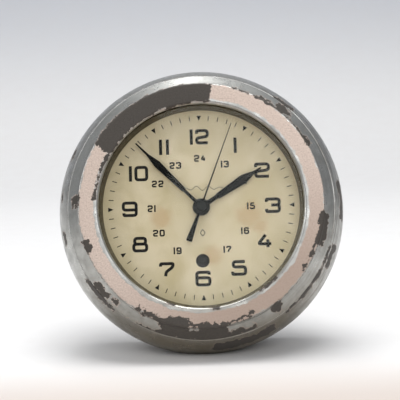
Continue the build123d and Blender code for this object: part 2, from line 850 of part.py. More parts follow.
with BuildPart() as ratchet_wheel:
    saw = []
    for tooth in range(ratchet_teeth):
        saw.append(polar(ratchet_radius - ratchet_depth, tooth * 360 / ratchet_teeth))
        saw.append(polar(ratchet_radius, (tooth + saw_lean) * 360 / ratchet_teeth))
    with BuildSketch(dial_plane(barrel_spot, ratchet_span[0])):
        with BuildLine():
            Polyline(*saw, close=True)
        make_face()
        Rectangle(ratchet_square, ratchet_square, mode=Mode.SUBTRACT)
    extrude(amount=ratchet_span[1] - ratchet_span[0])
pieces["ratchet_wheel"] = ratchet_wheel

click_inset = 0.2  # click's faces inside the ratchet wheel's
click_boss = 2.3
click_screw_gap = 0.1  # screw's head over the click
click_head_overlap = 0.4
click_head_height = 1.0
click_thread_recess = 0.3
click_span = (ratchet_span[0] + click_inset, ratchet_span[1] - click_inset)
click_head_z = click_span[1] + click_screw_gap
with BuildPart() as click:
    with BuildSketch(dial_plane(z=click_span[0])):
        with Locations(click_spot):
            Circle(click_boss)
        with Locations(nose_spot):
            Circle(click_nose)
        make_hull()
        with Locations(click_spot):
            Circle(click_screw_radius + click_pivot_fit, mode=Mode.SUBTRACT)
    extrude(amount=click_span[1] - click_span[0])
pieces["click"] = click

with BuildPart() as click_screw:
    disc((train_z + click_thread_recess, front_plate_z), click_thread, spot=click_spot)
    disc((front_plate_z, click_head_z), click_screw_radius, spot=click_spot)
    slotted_screw(
        dial_plane(click_spot, click_head_z),
        click_screw_radius,
        click_screw_gap,
        click_boss + click_head_overlap,
        click_head_height,
    )
pieces["click_screw"] = click_screw

with BuildPart() as click_spring:
    # a blade fixed beside the click that bears on the back of its nose
    spring_gap = 0.05
    blade = 0.6
    blade_foot_radius = 1.6
    blade_reach = (9.0, 5.0)  # nose to the blade's foot
    blade_end = (nose_spot[0] + click_nose, nose_spot[1] + click_nose + spring_gap)
    blade_foot = (nose_spot[0] - blade_reach[0], nose_spot[1] + blade_reach[1])
    with BuildSketch(dial_plane(z=front_plate_z)):
        with Locations(blade_foot):
            Circle(blade_foot_radius)
    extrude(amount=click_span[1] - front_plate_z)
    with BuildSketch(dial_plane(z=click_span[0])):
        with BuildLine():
            Polyline(
                (blade_foot[0], blade_foot[1]),
                (blade_foot[0], blade_foot[1] + blade),
                (blade_end[0], blade_end[1] + blade),
                (blade_end[0], blade_end[1]),
                close=True,
            )
        make_face()
    extrude(amount=click_span[1] - click_span[0])
pieces["click_spring"] = click_spring

# ---- Barrel ----
with BuildPart() as barrel_drum:
    tooth_span = (barrel_span[1] - barrel_tooth_height, barrel_span[1])
    toothed(barrel_spot, tooth_span, barrel_teeth, barrel_module)
    disc((barrel_span[0], tooth_span[0]), drum_radius, spot=barrel_spot)
    disc(spring_room, drum_bore, spot=barrel_spot, mode=Mode.SUBTRACT)
    disc(
        (barrel_span[0], spring_room[0]), drum_bore + cover_rebate, spot=barrel_spot, mode=Mode.SUBTRACT
    )
    disc(barrel_span, barrel_pivot + running_fit, spot=barrel_spot, mode=Mode.SUBTRACT)
pieces["barrel_drum"] = barrel_drum

with BuildPart() as barrel_cover:
    cover_span = (barrel_span[0], spring_room[0])
    disc(cover_span, drum_bore + cover_rebate, barrel_pivot + running_fit, barrel_spot)
pieces["barrel_cover"] = barrel_cover

with BuildPart() as mainspring:
    strip = 0.45
    spring_clearance = 0.1
    spring_edge_gap = 0.4
    mainspring_coils = 14
    spiral(
        barrel_spot,
        (spring_room[0] + spring_edge_gap, spring_room[1] - spring_edge_gap),
        barrel_hub + strip / 2 + spring_clearance,
        drum_bore - strip / 2 - spring_clearance,
        mainspring_coils,
        strip,
    )
pieces["mainspring"] = mainspring

# ---- Train ----
shoulder = 0.5  # arbor shoulder to the plate
pivot_length = 1.0
setting_rise = 0.6  # second arbor beyond the setting pinion

with BuildPart() as intermediate_arbor:
    stepped_arbor(
        intermediate_spot,
        rear_z,
        (
            (back_plate_z + shoulder, intermediate_pivot),
            (train_z - shoulder, intermediate_arbor_radius),
            (front_plate_z, intermediate_pivot),
        ),
    )
    leaf_span = behind(intermediate_leaf_layer)
    toothed(intermediate_spot, leaf_span, intermediate_leaves, barrel_module, intermediate_turn)
pieces["intermediate_arbor"] = intermediate_arbor

with BuildPart() as intermediate_wheel:
    train_wheel(
        intermediate_spot,
        behind(intermediate_wheel_layer),
        intermediate_teeth,
        intermediate_module,
        intermediate_arbor_radius,
    )
pieces["intermediate_wheel"] = intermediate_wheel

with BuildPart() as second_arbor:
    stepped_arbor(
        second_spot,
        rear_z,
        (
            (back_plate_z + shoulder, second_pivot),
            (train_z - shoulder, second_arbor_radius),
            (ahead(setting_layer)[1] + setting_rise, setting_arbor_radius),
        ),
    )
    leaf_span = behind(second_leaf_layer)
    toothed(second_spot, leaf_span, second_leaves, intermediate_module, second_turn)
pieces["second_arbor"] = second_arbor

with BuildPart() as second_wheel:
    wheel_span = behind(second_wheel_layer)
    train_wheel(second_spot, wheel_span, second_teeth, second_module, second_arbor_radius)
pieces["second_wheel"] = second_wheel

with BuildPart() as third_arbor:
    stepped_arbor(
        third_spot,
        back_plate_z - pivot_length,
        (
            (back_plate_z + shoulder, fine_pivot),
            (train_z - shoulder, third_arbor_radius),
            (train_z + pivot_length, fine_pivot),
        ),
    )
    toothed(third_spot, behind(third_leaf_layer), third_leaves, second_module, third_turn)
pieces["third_arbor"] = third_arbor

with BuildPart() as third_wheel:
    wheel_span = behind(third_wheel_layer)
    train_wheel(third_spot, wheel_span, third_teeth, third_module, third_arbor_radius)
pieces["third_wheel"] = third_wheel

seconds_hand_z = dial_z + seconds_hand_lift
with BuildPart() as seconds_arbor:
    stepped_arbor(
        centre_spot,
        back_plate_z - pivot_length,
        (
            (back_plate_z + shoulder, fine_pivot),
            (train_z - tube_flange_height - shoulder, third_arbor_radius),
            (seconds_hand_z + seconds_hand_thickness, seconds_arbor_radius),
        ),
    )
    toothed(centre_spot, behind(fourth_leaf_layer), fourth_leaves, third_module, fourth_turn)
pieces["seconds_arbor"] = seconds_arbor

with BuildPart() as fourth_wheel:
    wheel_span = behind(fourth_wheel_layer)
    train_wheel(centre_spot, wheel_span, fourth_teeth, fourth_module, third_arbor_radius)
pieces["fourth_wheel"] = fourth_wheel

# ---- Escapement ----
escape_arbor_radius = 0.6
escape_tooth = 1.7  # tooth height
escape_rim = 0.9
escape_hub_wall = 0.9
escape_spokes = 4
escape_spoke_width = 0.7
# corners of a tooth: depth under the tip, and place along the pitch
club_form = ((escape_tooth, 0.0), (0.5, 0.36), (0.0, 0.44), (0.15, 0.58), (escape_tooth, 0.42))
with BuildPart() as escape_arbor:
    stepped_arbor(
        escape_spot,
        back_plate_z - pivot_length,
        (
            (back_plate_z + shoulder, fine_pivot),
            (train_z - shoulder, escape_arbor_radius),
            (train_z + pivot_length, fine_pivot),
        ),
    )
    toothed(escape_spot, behind(escape_leaf_layer), escape_leaves, fourth_module, escape_turn)
pieces["escape_arbor"] = escape_arbor

with BuildPart() as escape_wheel:
    # club teeth that lean forward from the rim
    club = []
    for tooth in range(escape_teeth):
        for depth, share in club_form:
            club.append(polar(escape_radius - depth, (tooth + share) * 360 / escape_teeth))
    wheel_span = behind(escape_wheel_layer)
    with BuildSketch(dial_plane(escape_spot, wheel_span[0])):
        with BuildLine():
            Polyline(*club, close=True)
        make_face()
    extrude(amount=wheel_span[1] - wheel_span[0])
    crossings(
        escape_spot,
        wheel_span,
        escape_radius - escape_tooth - escape_rim,
        escape_arbor_radius + escape_hub_wall,
        escape_spokes,
        escape_spoke_width,
    )
    disc(wheel_span, escape_arbor_radius, spot=escape_spot, mode=Mode.SUBTRACT)
pieces["escape_wheel"] = escape_wheel

pallet_arbor_radius = 0.5
pallet_hub = 1.4
stone_clearance = 0.35  # stones to the wheel's tips with the lever in the middle
stone_length = 2.4
stone_width = 0.9
stone_spread = 30.0  # each side of the line of centres
fork_length = 10.0
fork_width = 1.3
fork_head = (2.0, 2.08)  # length and width of the fork's end
fork_slot_depth = 0.9
fork_slot_width = 0.7
arm_end = 0.72  # radius of the lever's arms over the stones
roller_radius = 2.2
jewel_orbit = 1.6
impulse_jewel_radius = 0.25
jewel_rise = 0.1  # impulse jewel beyond the fork
stone_angles = (escapement_angle - stone_spread, escapement_angle + stone_spread)
stone_middle = escape_radius + stone_clearance + stone_length / 2
stone_spots = [polar(stone_middle, angle, escape_spot) for angle in stone_angles]

with BuildPart() as pallet_lever:
    lever_span = behind(lever_layer)
    lever_height = lever_span[1] - lever_span[0]
    for spot in stone_spots:
        with BuildSketch(dial_plane(z=lever_span[0])):
            with Locations(pallet_spot):
                Circle(pallet_hub)
            with Locations(spot):
                Circle(arm_end)
            make_hull()
        extrude(amount=lever_height)
    with BuildSketch(dial_plane(pallet_spot, lever_span[0], escapement_angle)):
        Rectangle(fork_length, fork_width, align=(Align.MIN, Align.CENTER))
        with Locations((fork_length, 0)):
            Rectangle(*fork_head, align=(Align.MAX, Align.CENTER))
            Rectangle(fork_slot_depth, fork_slot_width, align=(Align.MAX, Align.CENTER), mode=Mode.SUBTRACT)
    extrude(amount=lever_height)
    disc(lever_span, pallet_arbor_radius, spot=pallet_spot, mode=Mode.SUBTRACT)
pieces["pallet_lever"] = pallet_lever

with BuildPart() as pallet_arbor:
    stepped_arbor(
        pallet_spot,
        back_plate_z - pivot_length,
        (
            (back_plate_z + shoulder, fine_pivot),
            (train_z - shoulder, pallet_arbor_radius),
            (train_z + pivot_length, fine_pivot),
        ),
    )
pieces["pallet_arbor"] = pallet_arbor

with BuildPart() as pallet_stones:
    stone_span = behind(pallet_stone_layer)
    for spot, angle in zip(stone_spots, stone_angles):
        with BuildSketch(dial_plane(spot, stone_span[0], angle)):
            Rectangle(stone_length, stone_width)
        extrude(amount=stone_span[1] - stone_span[0])
pieces["pallet_stones"] = pallet_stones

balance_radius = 10.6
balance_rim = 1.4
balance_arm_inset = 0.5
balance_arm_width = 1.6
balance_hub = 2.4
staff_radius = 0.6
cock_lift = 2.9
cock_thickness = 2.0
cock_end = 4.8
regulator_boss = 2.4
hairspring_lift = 0.9  # behind the back plate
hairspring_height = 0.7
hairspring_strip = 0.12
hairspring_outer = 6.3
hairspring_coils = 9
collet_radius = 1.5
collet_overhang = 0.1  # collet beyond the hairspring's edges
hairspring_inner = collet_radius + hairspring_strip
hairspring_pitch = (hairspring_outer - hairspring_inner) / hairspring_coils
cock_z = rear_z - cock_lift  # front face of the cock's arm
cock_back_z = cock_z - cock_thickness
hairspring_span = (rear_z - hairspring_lift - hairspring_height, rear_z - hairspring_lift)

with BuildPart() as balance_wheel:
    balance_span = behind(balance_layer)
    disc(balance_span, balance_radius, balance_radius - balance_rim, balance_spot)
    arm_span = (balance_span[0] + balance_arm_inset, balance_span[1] - balance_arm_inset)
    with BuildSketch(dial_plane(balance_spot, arm_span[0], escapement_angle + 90)):
        Rectangle(2 * balance_radius - balance_rim, balance_arm_width)
        Circle(balance_hub)
    extrude(amount=arm_span[1] - arm_span[0])
    disc(arm_span, staff_radius, spot=balance_spot, mode=Mode.SUBTRACT)
pieces["balance_wheel"] = balance_wheel

with BuildPart() as balance_staff:
    stepped_arbor(
        balance_spot,
        cock_z - pivot_length,
        (
            (cock_z + shoulder, balance_pivot),
            (hairspring_span[0] - collet_overhang, staff_radius),
            (hairspring_span[1] + collet_overhang, collet_radius),
            (train_z - shoulder, staff_radius),
            (train_z + pivot_length, balance_pivot),
        ),
    )
pieces["balance_staff"] = balance_staff

jewel_spot = polar(jewel_orbit, escapement_angle + 180, balance_spot)
with BuildPart() as roller_table:
    roller_span = behind(roller_layer)
    disc(roller_span, roller_radius, staff_radius, balance_spot)
    disc(roller_span, impulse_jewel_radius, spot=jewel_spot, mode=Mode.SUBTRACT)
pieces["roller_table"] = roller_table

with BuildPart() as impulse_jewel:
    disc((roller_span[0], lever_span[1] + jewel_rise), impulse_jewel_radius, spot=jewel_spot)
pieces["impulse_jewel"] = impulse_jewel

with BuildPart() as hairspring:
    spiral(
        balance_spot,
        hairspring_span,
        hairspring_inner,
        hairspring_outer,
        hairspring_coils,
        hairspring_strip,
    )
pieces["hairspring"] = hairspring

stud_radius = 0.5
stud_fit = 0.03
stud_wall = 0.8
cock_hub = 2.0
regulator_boss_height = 0.7
cock_screw_recess = 0.2
cock_screw_head = 2.8
cock_screw_head_height = 1.6
regulator_gap = 0.05
regulator_thickness = 0.5
regulator_width = 1.6
stud_reach = hairspring_outer + hairspring_strip / 2 + stud_fit + stud_radius
stud_spot = polar(stud_reach, 0, balance_spot)
curb_radius = 0.15
regulator_angle = cock_angle + 180
regulator_length = 9.5
regulator_ring = 3.8
# the curb pins stand half a coil to each side of the outer coil where it passes the regulator
curb_middle = hairspring_outer - hairspring_pitch * (360 - regulator_angle) / 360

with BuildPart() as balance_cock:
    disc((cock_z, rear_z), cock_foot, spot=cock_spot)
    with BuildSketch(dial_plane(z=cock_back_z)):
        with Locations(cock_spot):
            Circle(cock_foot)
        with Locations(balance_spot):
            Circle(cock_end)
        make_hull()
    extrude(amount=cock_thickness)
    with BuildSketch(dial_plane(z=cock_back_z)):
        with Locations(balance_spot):
            Circle(cock_hub)
        with Locations(stud_spot):
            Circle(stud_radius + stud_wall)
        make_hull()
    extrude(amount=cock_thickness)
    boss_end = cock_back_z - regulator_boss_height
    disc((boss_end, cock_back_z), regulator_boss, spot=balance_spot)
    disc((boss_end, cock_z), jewel_radius, spot=balance_spot, mode=Mode.SUBTRACT)
    disc((cock_back_z, rear_z), cock_screw, spot=cock_spot, mode=Mode.SUBTRACT)
pieces["balance_cock"] = balance_cock

with BuildPart() as cock_fixing:
    slotted_screw(
        rear_plane(cock_spot, cock_back_z),
        cock_screw,
        cock_lift + cock_thickness + plate_thickness - cock_screw_recess,
        cock_screw_head,
        cock_screw_head_height,
    )
pieces["cock_screw"] = cock_fixing

with BuildPart() as hairspring_stud:
    disc((hairspring_span[0], cock_z), stud_radius, spot=stud_spot)
pieces["hairspring_stud"] = hairspring_stud

with BuildPart() as regulator:
    regulator_front = cock_back_z - regulator_gap
    regulator_span = (regulator_front - regulator_thickness, regulator_front)
    with BuildSketch(dial_plane(balance_spot, regulator_span[0], regulator_angle)):
        Circle(regulator_ring)
        Rectangle(regulator_length, regulator_width, align=(Align.MIN, Align.CENTER))
        Circle(regulator_boss + tube_bore_fit, mode=Mode.SUBTRACT)
    extrude(amount=regulator_span[1] - regulator_span[0])
    for side in (-1, 1):
        reach = curb_middle + side * hairspring_pitch / 2
        pin_spot = polar(reach, regulator_angle, balance_spot)
        disc((regulator_span[0], hairspring_span[1]), curb_radius, spot=pin_spot)
pieces["regulator"] = regulator

with BuildPart() as train_jewels:
    for spot, pivot in front_jewels:
        disc((train_z, train_z + jewel_thickness), jewel_radius, pivot + jewel_fit, spot)
    for spot, pivot in back_jewels:
        disc((back_plate_z - jewel_thickness, back_plate_z), jewel_radius, pivot + jewel_fit, spot)
    cock_jewel = (cock_z - jewel_thickness, cock_z)
    disc(cock_jewel, jewel_radius, balance_pivot + jewel_fit, balance_spot)
pieces["train_jewels"] = train_jewels

# ---- Motion work ----
with BuildPart() as setting_pinion:
    setting_span = ahead(setting_layer)
    train_wheel(
        second_spot, setting_span, setting_teeth, setting_module, setting_arbor_radius + jewel_fit
    )
pieces["setting_pinion"] = setting_pinion

cannon_top = dial_z + minute_hand_lift + hand_thickness
with BuildPart() as cannon_pinion:
    leaf_span = ahead(cannon_leaf_layer)
    toothed(centre_spot, leaf_span, cannon_leaves, cannon_module)
    disc((setting_span[0], cannon_top), cannon_pipe)
    disc((setting_span[0], cannon_top), cannon_bore, mode=Mode.SUBTRACT)
pieces["cannon_pinion"] = cannon_pinion

with BuildPart() as cannon_wheel:
    train_wheel(
        centre_spot, setting_span, setting_teeth, setting_module, cannon_pipe, cannon_wheel_turn
    )
pieces["cannon_wheel"] = cannon_wheel

with BuildPart() as minute_wheel:
    leaf_span = ahead(minute_leaf_layer)
    toothed(minute_spot, ahead(minute_wheel_layer), minute_teeth, cannon_module, minute_turn)
    root = cannon_module * (minute_teeth / 2 - dedendum)
    crossings(
        minute_spot, ahead(minute_wheel_layer), root - motion_rim, minute_hub, spokes, spoke_width
    )
    toothed(minute_spot, leaf_span, minute_leaves, hour_module)
    bore_span = (ahead(minute_wheel_layer)[0], leaf_span[1])
    disc(bore_span, post_radius + running_fit, spot=minute_spot, mode=Mode.SUBTRACT)
pieces["minute_wheel"] = minute_wheel

hour_span = ahead(hour_wheel_layer)
hour_top = dial_z + hour_hand_lift + hand_thickness
with BuildPart() as hour_wheel:
    toothed(centre_spot, hour_span, hour_teeth, hour_module, hour_turn)
    root = hour_module * (hour_teeth / 2 - dedendum)
    crossings(centre_spot, hour_span, root - motion_rim, hour_pipe + hub_wall, spokes, spoke_width)
    disc((hour_span[0], hour_top), hour_pipe)
    disc((hour_span[0], hour_top), hour_bore, mode=Mode.SUBTRACT)
pieces["hour_wheel"] = hour_wheel


# ---- Hands ----
def lance_hand(z, angle, edge, boss, bore):
    """Flat hand that widens to a shoulder and narrows to a needle."""
    outline = list(edge) + [(reach, -half) for reach, half in reversed(edge)]
    with BuildSketch(dial_plane(z=z, turn=90 - angle)) as shape:
        with BuildLine():
            Polyline(*outline, close=True)
        make_face()
        Circle(boss)
        Circle(bore, mode=Mode.SUBTRACT)
    extrude(shape.sketch, amount=hand_thickness)


with BuildPart() as hour_hand:
    lance_hand(
        dial_z + hour_hand_lift,
        hour_hand_angle,
        hour_hand_shape,
        hour_boss,
        hour_pipe,
    )
pieces["hour_hand"] = hour_hand

with BuildPart() as minute_hand:
    lance_hand(
        dial_z + minute_hand_lift,
        minute_hand_angle,
        minute_hand_shape,
        minute_boss,
        cannon_pipe,
    )
pieces["minute_hand"] = minute_hand

with BuildPart() as seconds_hand:
    with BuildSketch(dial_plane(z=seconds_hand_z, turn=90 - seconds_hand_angle)):
        with BuildLine():
            Polyline(
                (0, seconds_hand_half),
                (seconds_hand_length, seconds_tip_half),
                (seconds_hand_length, -seconds_tip_half),
                (0, -seconds_hand_half),
                (-seconds_tail_length, -seconds_tail_half),
                (-seconds_tail_length, seconds_tail_half),
                close=True,
            )
        make_face()
        Circle(seconds_boss)
        Circle(seconds_arbor_radius, mode=Mode.SUBTRACT)
    extrude(amount=seconds_hand_thickness)
pieces["seconds_hand"] = seconds_hand

with BuildPart() as seconds_cap:
    # a shallow dome over the end of the seconds arbor
    cap_z = seconds_hand_z + seconds_hand_thickness
    dome_radius = (seconds_boss**2 + cap_height**2) / (2 * cap_height)
    with BuildSketch(section_plane()):
        with BuildLine():
            RadiusArc((0, cap_z + cap_height), (seconds_boss, cap_z), dome_radius)
            Polyline((seconds_boss, cap_z), (0, cap_z), (0, cap_z + cap_height))
        make_face()
    revolve(axis=arbor_axis())
pieces["seconds_cap"] = seconds_cap

# ---- Write every piece ----
os.makedirs("parts", exist_ok=True)
for name, piece in pieces.items():
    piece.part.label = name
    export_step(piece.part, f"parts/{name}.step")
print(f"{len(pieces)} pieces, case radius {case_radius:.2f}, axis height {axis_height:.2f}")
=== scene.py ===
import json
import math

import bmesh
import bpy
from mathutils import Euler, Matrix, Vector

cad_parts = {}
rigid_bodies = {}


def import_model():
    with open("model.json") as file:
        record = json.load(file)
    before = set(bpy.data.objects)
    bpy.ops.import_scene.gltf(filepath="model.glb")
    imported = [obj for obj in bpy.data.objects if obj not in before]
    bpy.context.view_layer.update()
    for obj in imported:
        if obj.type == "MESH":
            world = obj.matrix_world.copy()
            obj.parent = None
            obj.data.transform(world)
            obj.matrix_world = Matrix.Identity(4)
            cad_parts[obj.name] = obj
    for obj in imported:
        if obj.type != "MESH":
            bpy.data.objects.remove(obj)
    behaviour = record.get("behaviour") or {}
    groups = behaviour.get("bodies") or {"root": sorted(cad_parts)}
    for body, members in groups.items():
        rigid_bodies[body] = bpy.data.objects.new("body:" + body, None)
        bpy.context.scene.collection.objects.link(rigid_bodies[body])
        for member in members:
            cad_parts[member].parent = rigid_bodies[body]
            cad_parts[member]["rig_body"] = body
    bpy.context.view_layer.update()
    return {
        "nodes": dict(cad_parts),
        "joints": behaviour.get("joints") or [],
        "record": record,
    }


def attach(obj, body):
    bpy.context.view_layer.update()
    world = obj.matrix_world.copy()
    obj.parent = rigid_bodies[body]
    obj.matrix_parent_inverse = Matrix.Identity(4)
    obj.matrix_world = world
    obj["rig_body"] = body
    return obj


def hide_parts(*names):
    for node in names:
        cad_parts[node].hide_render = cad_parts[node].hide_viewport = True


# Ships deck clock: plated case with worn plating, aged 24 hour dial, black hands.
# Clock coordinates, in millimetres: X right, Y to the 12, Z along the hands' axis to
# the front, with 0 at the bezel's flat face.
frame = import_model()
nodes = frame["nodes"]
jointNamed = {joint["name"]: joint for joint in frame["joints"]}
frontAxis = Vector(jointNamed["bezel_turn"]["axis"]).normalized()
axisPoint = Vector(jointNamed["bezel_turn"]["pos_m"])
rightAxis = Vector((1, 0, 0))
upAxis = frontAxis.cross(rightAxis)
mm = 0.001
clockTurn = Matrix((rightAxis, upAxis, frontAxis)).transposed()
clockPlace = Matrix.Translation(axisPoint) @ clockTurn.to_4x4() @ Matrix.Scale(mm, 4)
print("frame loaded:", len(nodes), "nodes")


def depthRange(node):
    depths = [(v.co - axisPoint).dot(frontAxis) / mm for v in nodes[node].data.vertices]
    return min(depths), max(depths)


def radiusRange(node):
    found = []
    for vertex in nodes[node].data.vertices:
        away = vertex.co - axisPoint
        found.append((away - frontAxis * away.dot(frontAxis)).length / mm)
    return min(found), max(found)


dialFace = depthRange("dial")[1]
bezelOut = radiusRange("bezel")[1]
bezelBack = depthRange("bezel")[0]


# node helpers
def addNode(tree, kind, **settings):
    node = tree.nodes.new(kind)
    for name, value in settings.items():
        setattr(node, name, value)
    return node


def feed(tree, socket, value):
    if isinstance(value, bpy.types.NodeSocket):
        tree.links.new(value, socket)
    else:
        socket.default_value = value


def calc(tree, operation, *values):
    node = addNode(tree, "ShaderNodeMath", operation=operation)
    for socket, value in zip(node.inputs, values):
        feed(tree, socket, value)
    return node.outputs[0]


def plus(tree, first, second):
    return calc(tree, "ADD", first, second)


def minus(tree, first, second):
    return calc(tree, "SUBTRACT", first, second)


def times(tree, first, second):
    return calc(tree, "MULTIPLY", first, second)


def blendColour(tree, share, first, second):
    node = addNode(tree, "ShaderNodeMix", data_type="RGBA", blend_type="MIX")
    feed(tree, node.inputs[0], share)
    feed(tree, node.inputs[6], first)
    feed(tree, node.inputs[7], second)
    return node.outputs[2]


def blendValue(tree, share, first, second):
    node = addNode(tree, "ShaderNodeMix", data_type="FLOAT")
    feed(tree, node.inputs[0], share)
    feed(tree, node.inputs[2], first)
    feed(tree, node.inputs[3], second)
    return node.outputs[0]


def remap(tree, value, low, high, toLow=0.0, toHigh=1.0, smooth=False):
    node = addNode(tree, "ShaderNodeMapRange", clamp=True)
    if smooth:
        node.interpolation_type = "SMOOTHSTEP"
    for socket, number in zip(node.inputs, (value, low, high, toLow, toHigh)):
        feed(tree, socket, number)
    return node.outputs[0]


def noise(tree, place, scale, detail=3.0, rough=0.55, twist=0.0):
    node = addNode(tree, "ShaderNodeTexNoise")
    feed(tree, node.inputs["Vector"], place)
    feed(tree, node.inputs["Scale"], scale)
    feed(tree, node.inputs["Detail"], detail)
    feed(tree, node.inputs["Roughness"], rough)
    feed(tree, node.inputs["Distortion"], twist)
    return node.outputs[0]


def stretch(tree, place, scale, turn=(0, 0, 0)):
    node = addNode(tree, "ShaderNodeMapping")
    feed(tree, node.inputs["Vector"], place)
    node.inputs["Scale"].default_value = scale
    node.inputs["Rotation"].default_value = turn
    return node.outputs[0]


def bump(tree, height, strength, distance):
    node = addNode(tree, "ShaderNodeBump")
    node.inputs["Strength"].default_value = strength
    node.inputs["Distance"].default_value = distance * mm
    feed(tree, node.inputs["Height"], height)
    return node.outputs[0]


def newGroup(name, inputs, outputs):
    tree = bpy.data.node_groups.new(name, "ShaderNodeTree")
    for label, kind, value in inputs:
        socket = tree.interface.new_socket(label, in_out="INPUT", socket_type="NodeSocket" + kind)
        if value is not None:
            socket.default_value = value
    for label, kind in outputs:
        tree.interface.new_socket(label, in_out="OUTPUT", socket_type="NodeSocket" + kind)
    return tree, tree.nodes.new("NodeGroupInput"), tree.nodes.new("NodeGroupOutput")


def useGroup(tree, group, **values):
    node = tree.nodes.new("ShaderNodeGroup")
    node.node_tree = group
    for label, value in values.items():
        feed(tree, node.inputs[label.replace("_", " ")], value)
    return node


def rgb(red, green, blue):
    linear = []
    for part in (red, green, blue):
        share = part / 255
        linear.append(share / 12.92 if share <= 0.04045 else ((share + 0.055) / 1.055) ** 2.4)
    return (*linear, 1.0)


# shared effects
def makeClockPolar():
    tree, _, out = newGroup(
        "clockPolar",
        [],
        [("Place", "Vector"), ("Angle", "Float"), ("Radius", "Float"), ("Depth", "Float")],
    )
    here = addNode(tree, "ShaderNodeTexCoord")
    turn = addNode(tree, "ShaderNodeMapping", vector_type="TEXTURE")
    tree.links.new(here.outputs["Object"], turn.inputs["Vector"])
    turn.inputs["Location"].default_value = axisPoint
    turn.inputs["Rotation"].default_value = clockTurn.to_euler()
    turn.inputs["Scale"].default_value = (mm, mm, mm)
    parts = addNode(tree, "ShaderNodeSeparateXYZ")
    tree.links.new(turn.outputs[0], parts.inputs[0])
    across, up, depth = parts.outputs
    angle = times(tree, calc(tree, "ARCTAN2", across, up), 180 / math.pi)
    angle = calc(tree, "WRAP", angle, 360.0, 0.0)
    radius = calc(tree, "SQRT", plus(tree, times(tree, across, across), times(tree, up, up)))
    for socket, value in zip(out.inputs, (turn.outputs[0], angle, radius, depth)):
        feed(tree, socket, value)
    return tree


def makeWornPatch():
    # how far outside a patch of ring a point lies, in millimetres, below 0 inside it
    tree, into, out = newGroup(
        "wornPatch",
        [
            ("Angle", "Float", 0.0),
            ("Radius", "Float", 0.0),
            ("Across", "Float", 0.0),
            ("Middle", "Float", 0.0),
            ("Half Angle", "Float", 10.0),
            ("Inner", "Float", 60.0),
            ("Outer", "Float", 70.0),
            ("Corner", "Float", 1.0),
        ],
        [("Distance", "Float")],
    )
    angle, radius, reach, middle, half, inner, outer, corner = into.outputs[:8]
    swing = calc(tree, "WRAP", minus(tree, angle, middle), 180.0, -180.0)
    along = minus(tree, calc(tree, "ABSOLUTE", swing), half)
    along = times(tree, times(tree, along, radius), math.pi / 180)
    centre = times(tree, plus(tree, inner, outer), 0.5)
    thick = times(tree, minus(tree, outer, inner), 0.5)
    across = minus(tree, calc(tree, "ABSOLUTE", minus(tree, reach, centre)), thick)
    along = plus(tree, along, corner)
    across = plus(tree, across, corner)
    overA = calc(tree, "MAXIMUM", along, 0.0)
    overB = calc(tree, "MAXIMUM", across, 0.0)
    far = calc(tree, "SQRT", plus(tree, times(tree, overA, overA), times(tree, overB, overB)))
    near = calc(tree, "MINIMUM", calc(tree, "MAXIMUM", along, across), 0.0)
    total = minus(tree, plus(tree, far, near), corner)
    feed(tree, out.inputs[0], total)
    return tree


def makeScratches():
    # fine scratches in two directions, 1 in a scratch
    tree, into, out = newGroup(
        "scratches",
        [("Place", "Vector", None), ("Scale", "Float", 1.0), ("Share", "Float", 0.5)],
        [("Mask", "Float")],
    )
    place, scale, share = into.outputs[:3]
    level = minus(tree, 0.80, times(tree, share, 0.14))
    total = None
    for size, turn in (((0.06, 2.6, 1.0), 0.5), ((2.2, 0.05, 1.0), 0.25), ((0.05, 2.4, 1.0), -0.9)):
        strip = noise(tree, stretch(tree, place, size, (0, 0, turn)), scale, 2.0, 0.5)
        mask = remap(tree, strip, level, plus(tree, level, 0.03))
        total = mask if total is None else calc(tree, "MAXIMUM", total, mask)
    feed(tree, out.inputs[0], total)
    return tree


def makeGrain():
    # patchy colour, dust and fine roughness for metals and plastics
    tree, into, out = newGroup(
        "agedGrain",
        [
            ("Clean", "Color", (0.5, 0.5, 0.5, 1)),
            ("Dull", "Color", (0.3, 0.3, 0.3, 1)),
            ("Size", "Float", 0.3),
            ("Amount", "Float", 0.5),
            ("Smooth", "Float", 0.25),
            ("Coarse", "Float", 0.5),
        ],
        [("Color", "Color"), ("Roughness", "Float"), ("Height", "Float")],
    )
    clean, dull, size, amount, smoothest, coarsest = into.outputs[:6]
    polar = useGroup(tree, clockPolar)
    place = polar.outputs["Place"]
    cloud = remap(tree, noise(tree, place, size, 5.0, 0.62, 0.3), 0.32, 0.72)
    fine = noise(tree, place, times(tree, size, 14.0), 3.0, 0.6)
    share = times(tree, plus(tree, cloud, times(tree, fine, 0.35)), amount)
    feed(tree, out.inputs["Color"], blendColour(tree, share, clean, dull))
    feed(tree, out.inputs["Roughness"], blendValue(tree, cloud, smoothest, coarsest))
    feed(tree, out.inputs["Height"], fine)
    return tree


clockPolar = makeClockPolar()
wornPatch = makeWornPatch()
scratches = makeScratches()
agedGrain = makeGrain()


def newMaterial(name):
    material = bpy.data.materials.new(name)
    material.use_nodes = True
    tree = material.node_tree
    shader = tree.nodes["Principled BSDF"]
    return material, tree, shader


def grainMaterial(name, spec):
    material, tree, shader = newMaterial(name)
    grain = useGroup(
        tree,
        agedGrain,
        Clean=spec["clean"],
        Dull=spec["dull"],
        Size=spec["size"],
        Amount=spec["amount"],
        Smooth=spec["rough"][0],
        Coarse=spec["rough"][1],
    )
    feed(tree, shader.inputs["Base Color"], grain.outputs["Color"])
    feed(tree, shader.inputs["Roughness"], grain.outputs["Roughness"])
    shader.inputs["Metallic"].default_value = spec["metal"]
    shader.inputs["Specular IOR Level"].default_value = spec.get("shine", 0.5)
    feed(tree, shader.inputs["Normal"], bump(tree, grain.outputs["Height"], spec["bump"], 0.05))
    return material


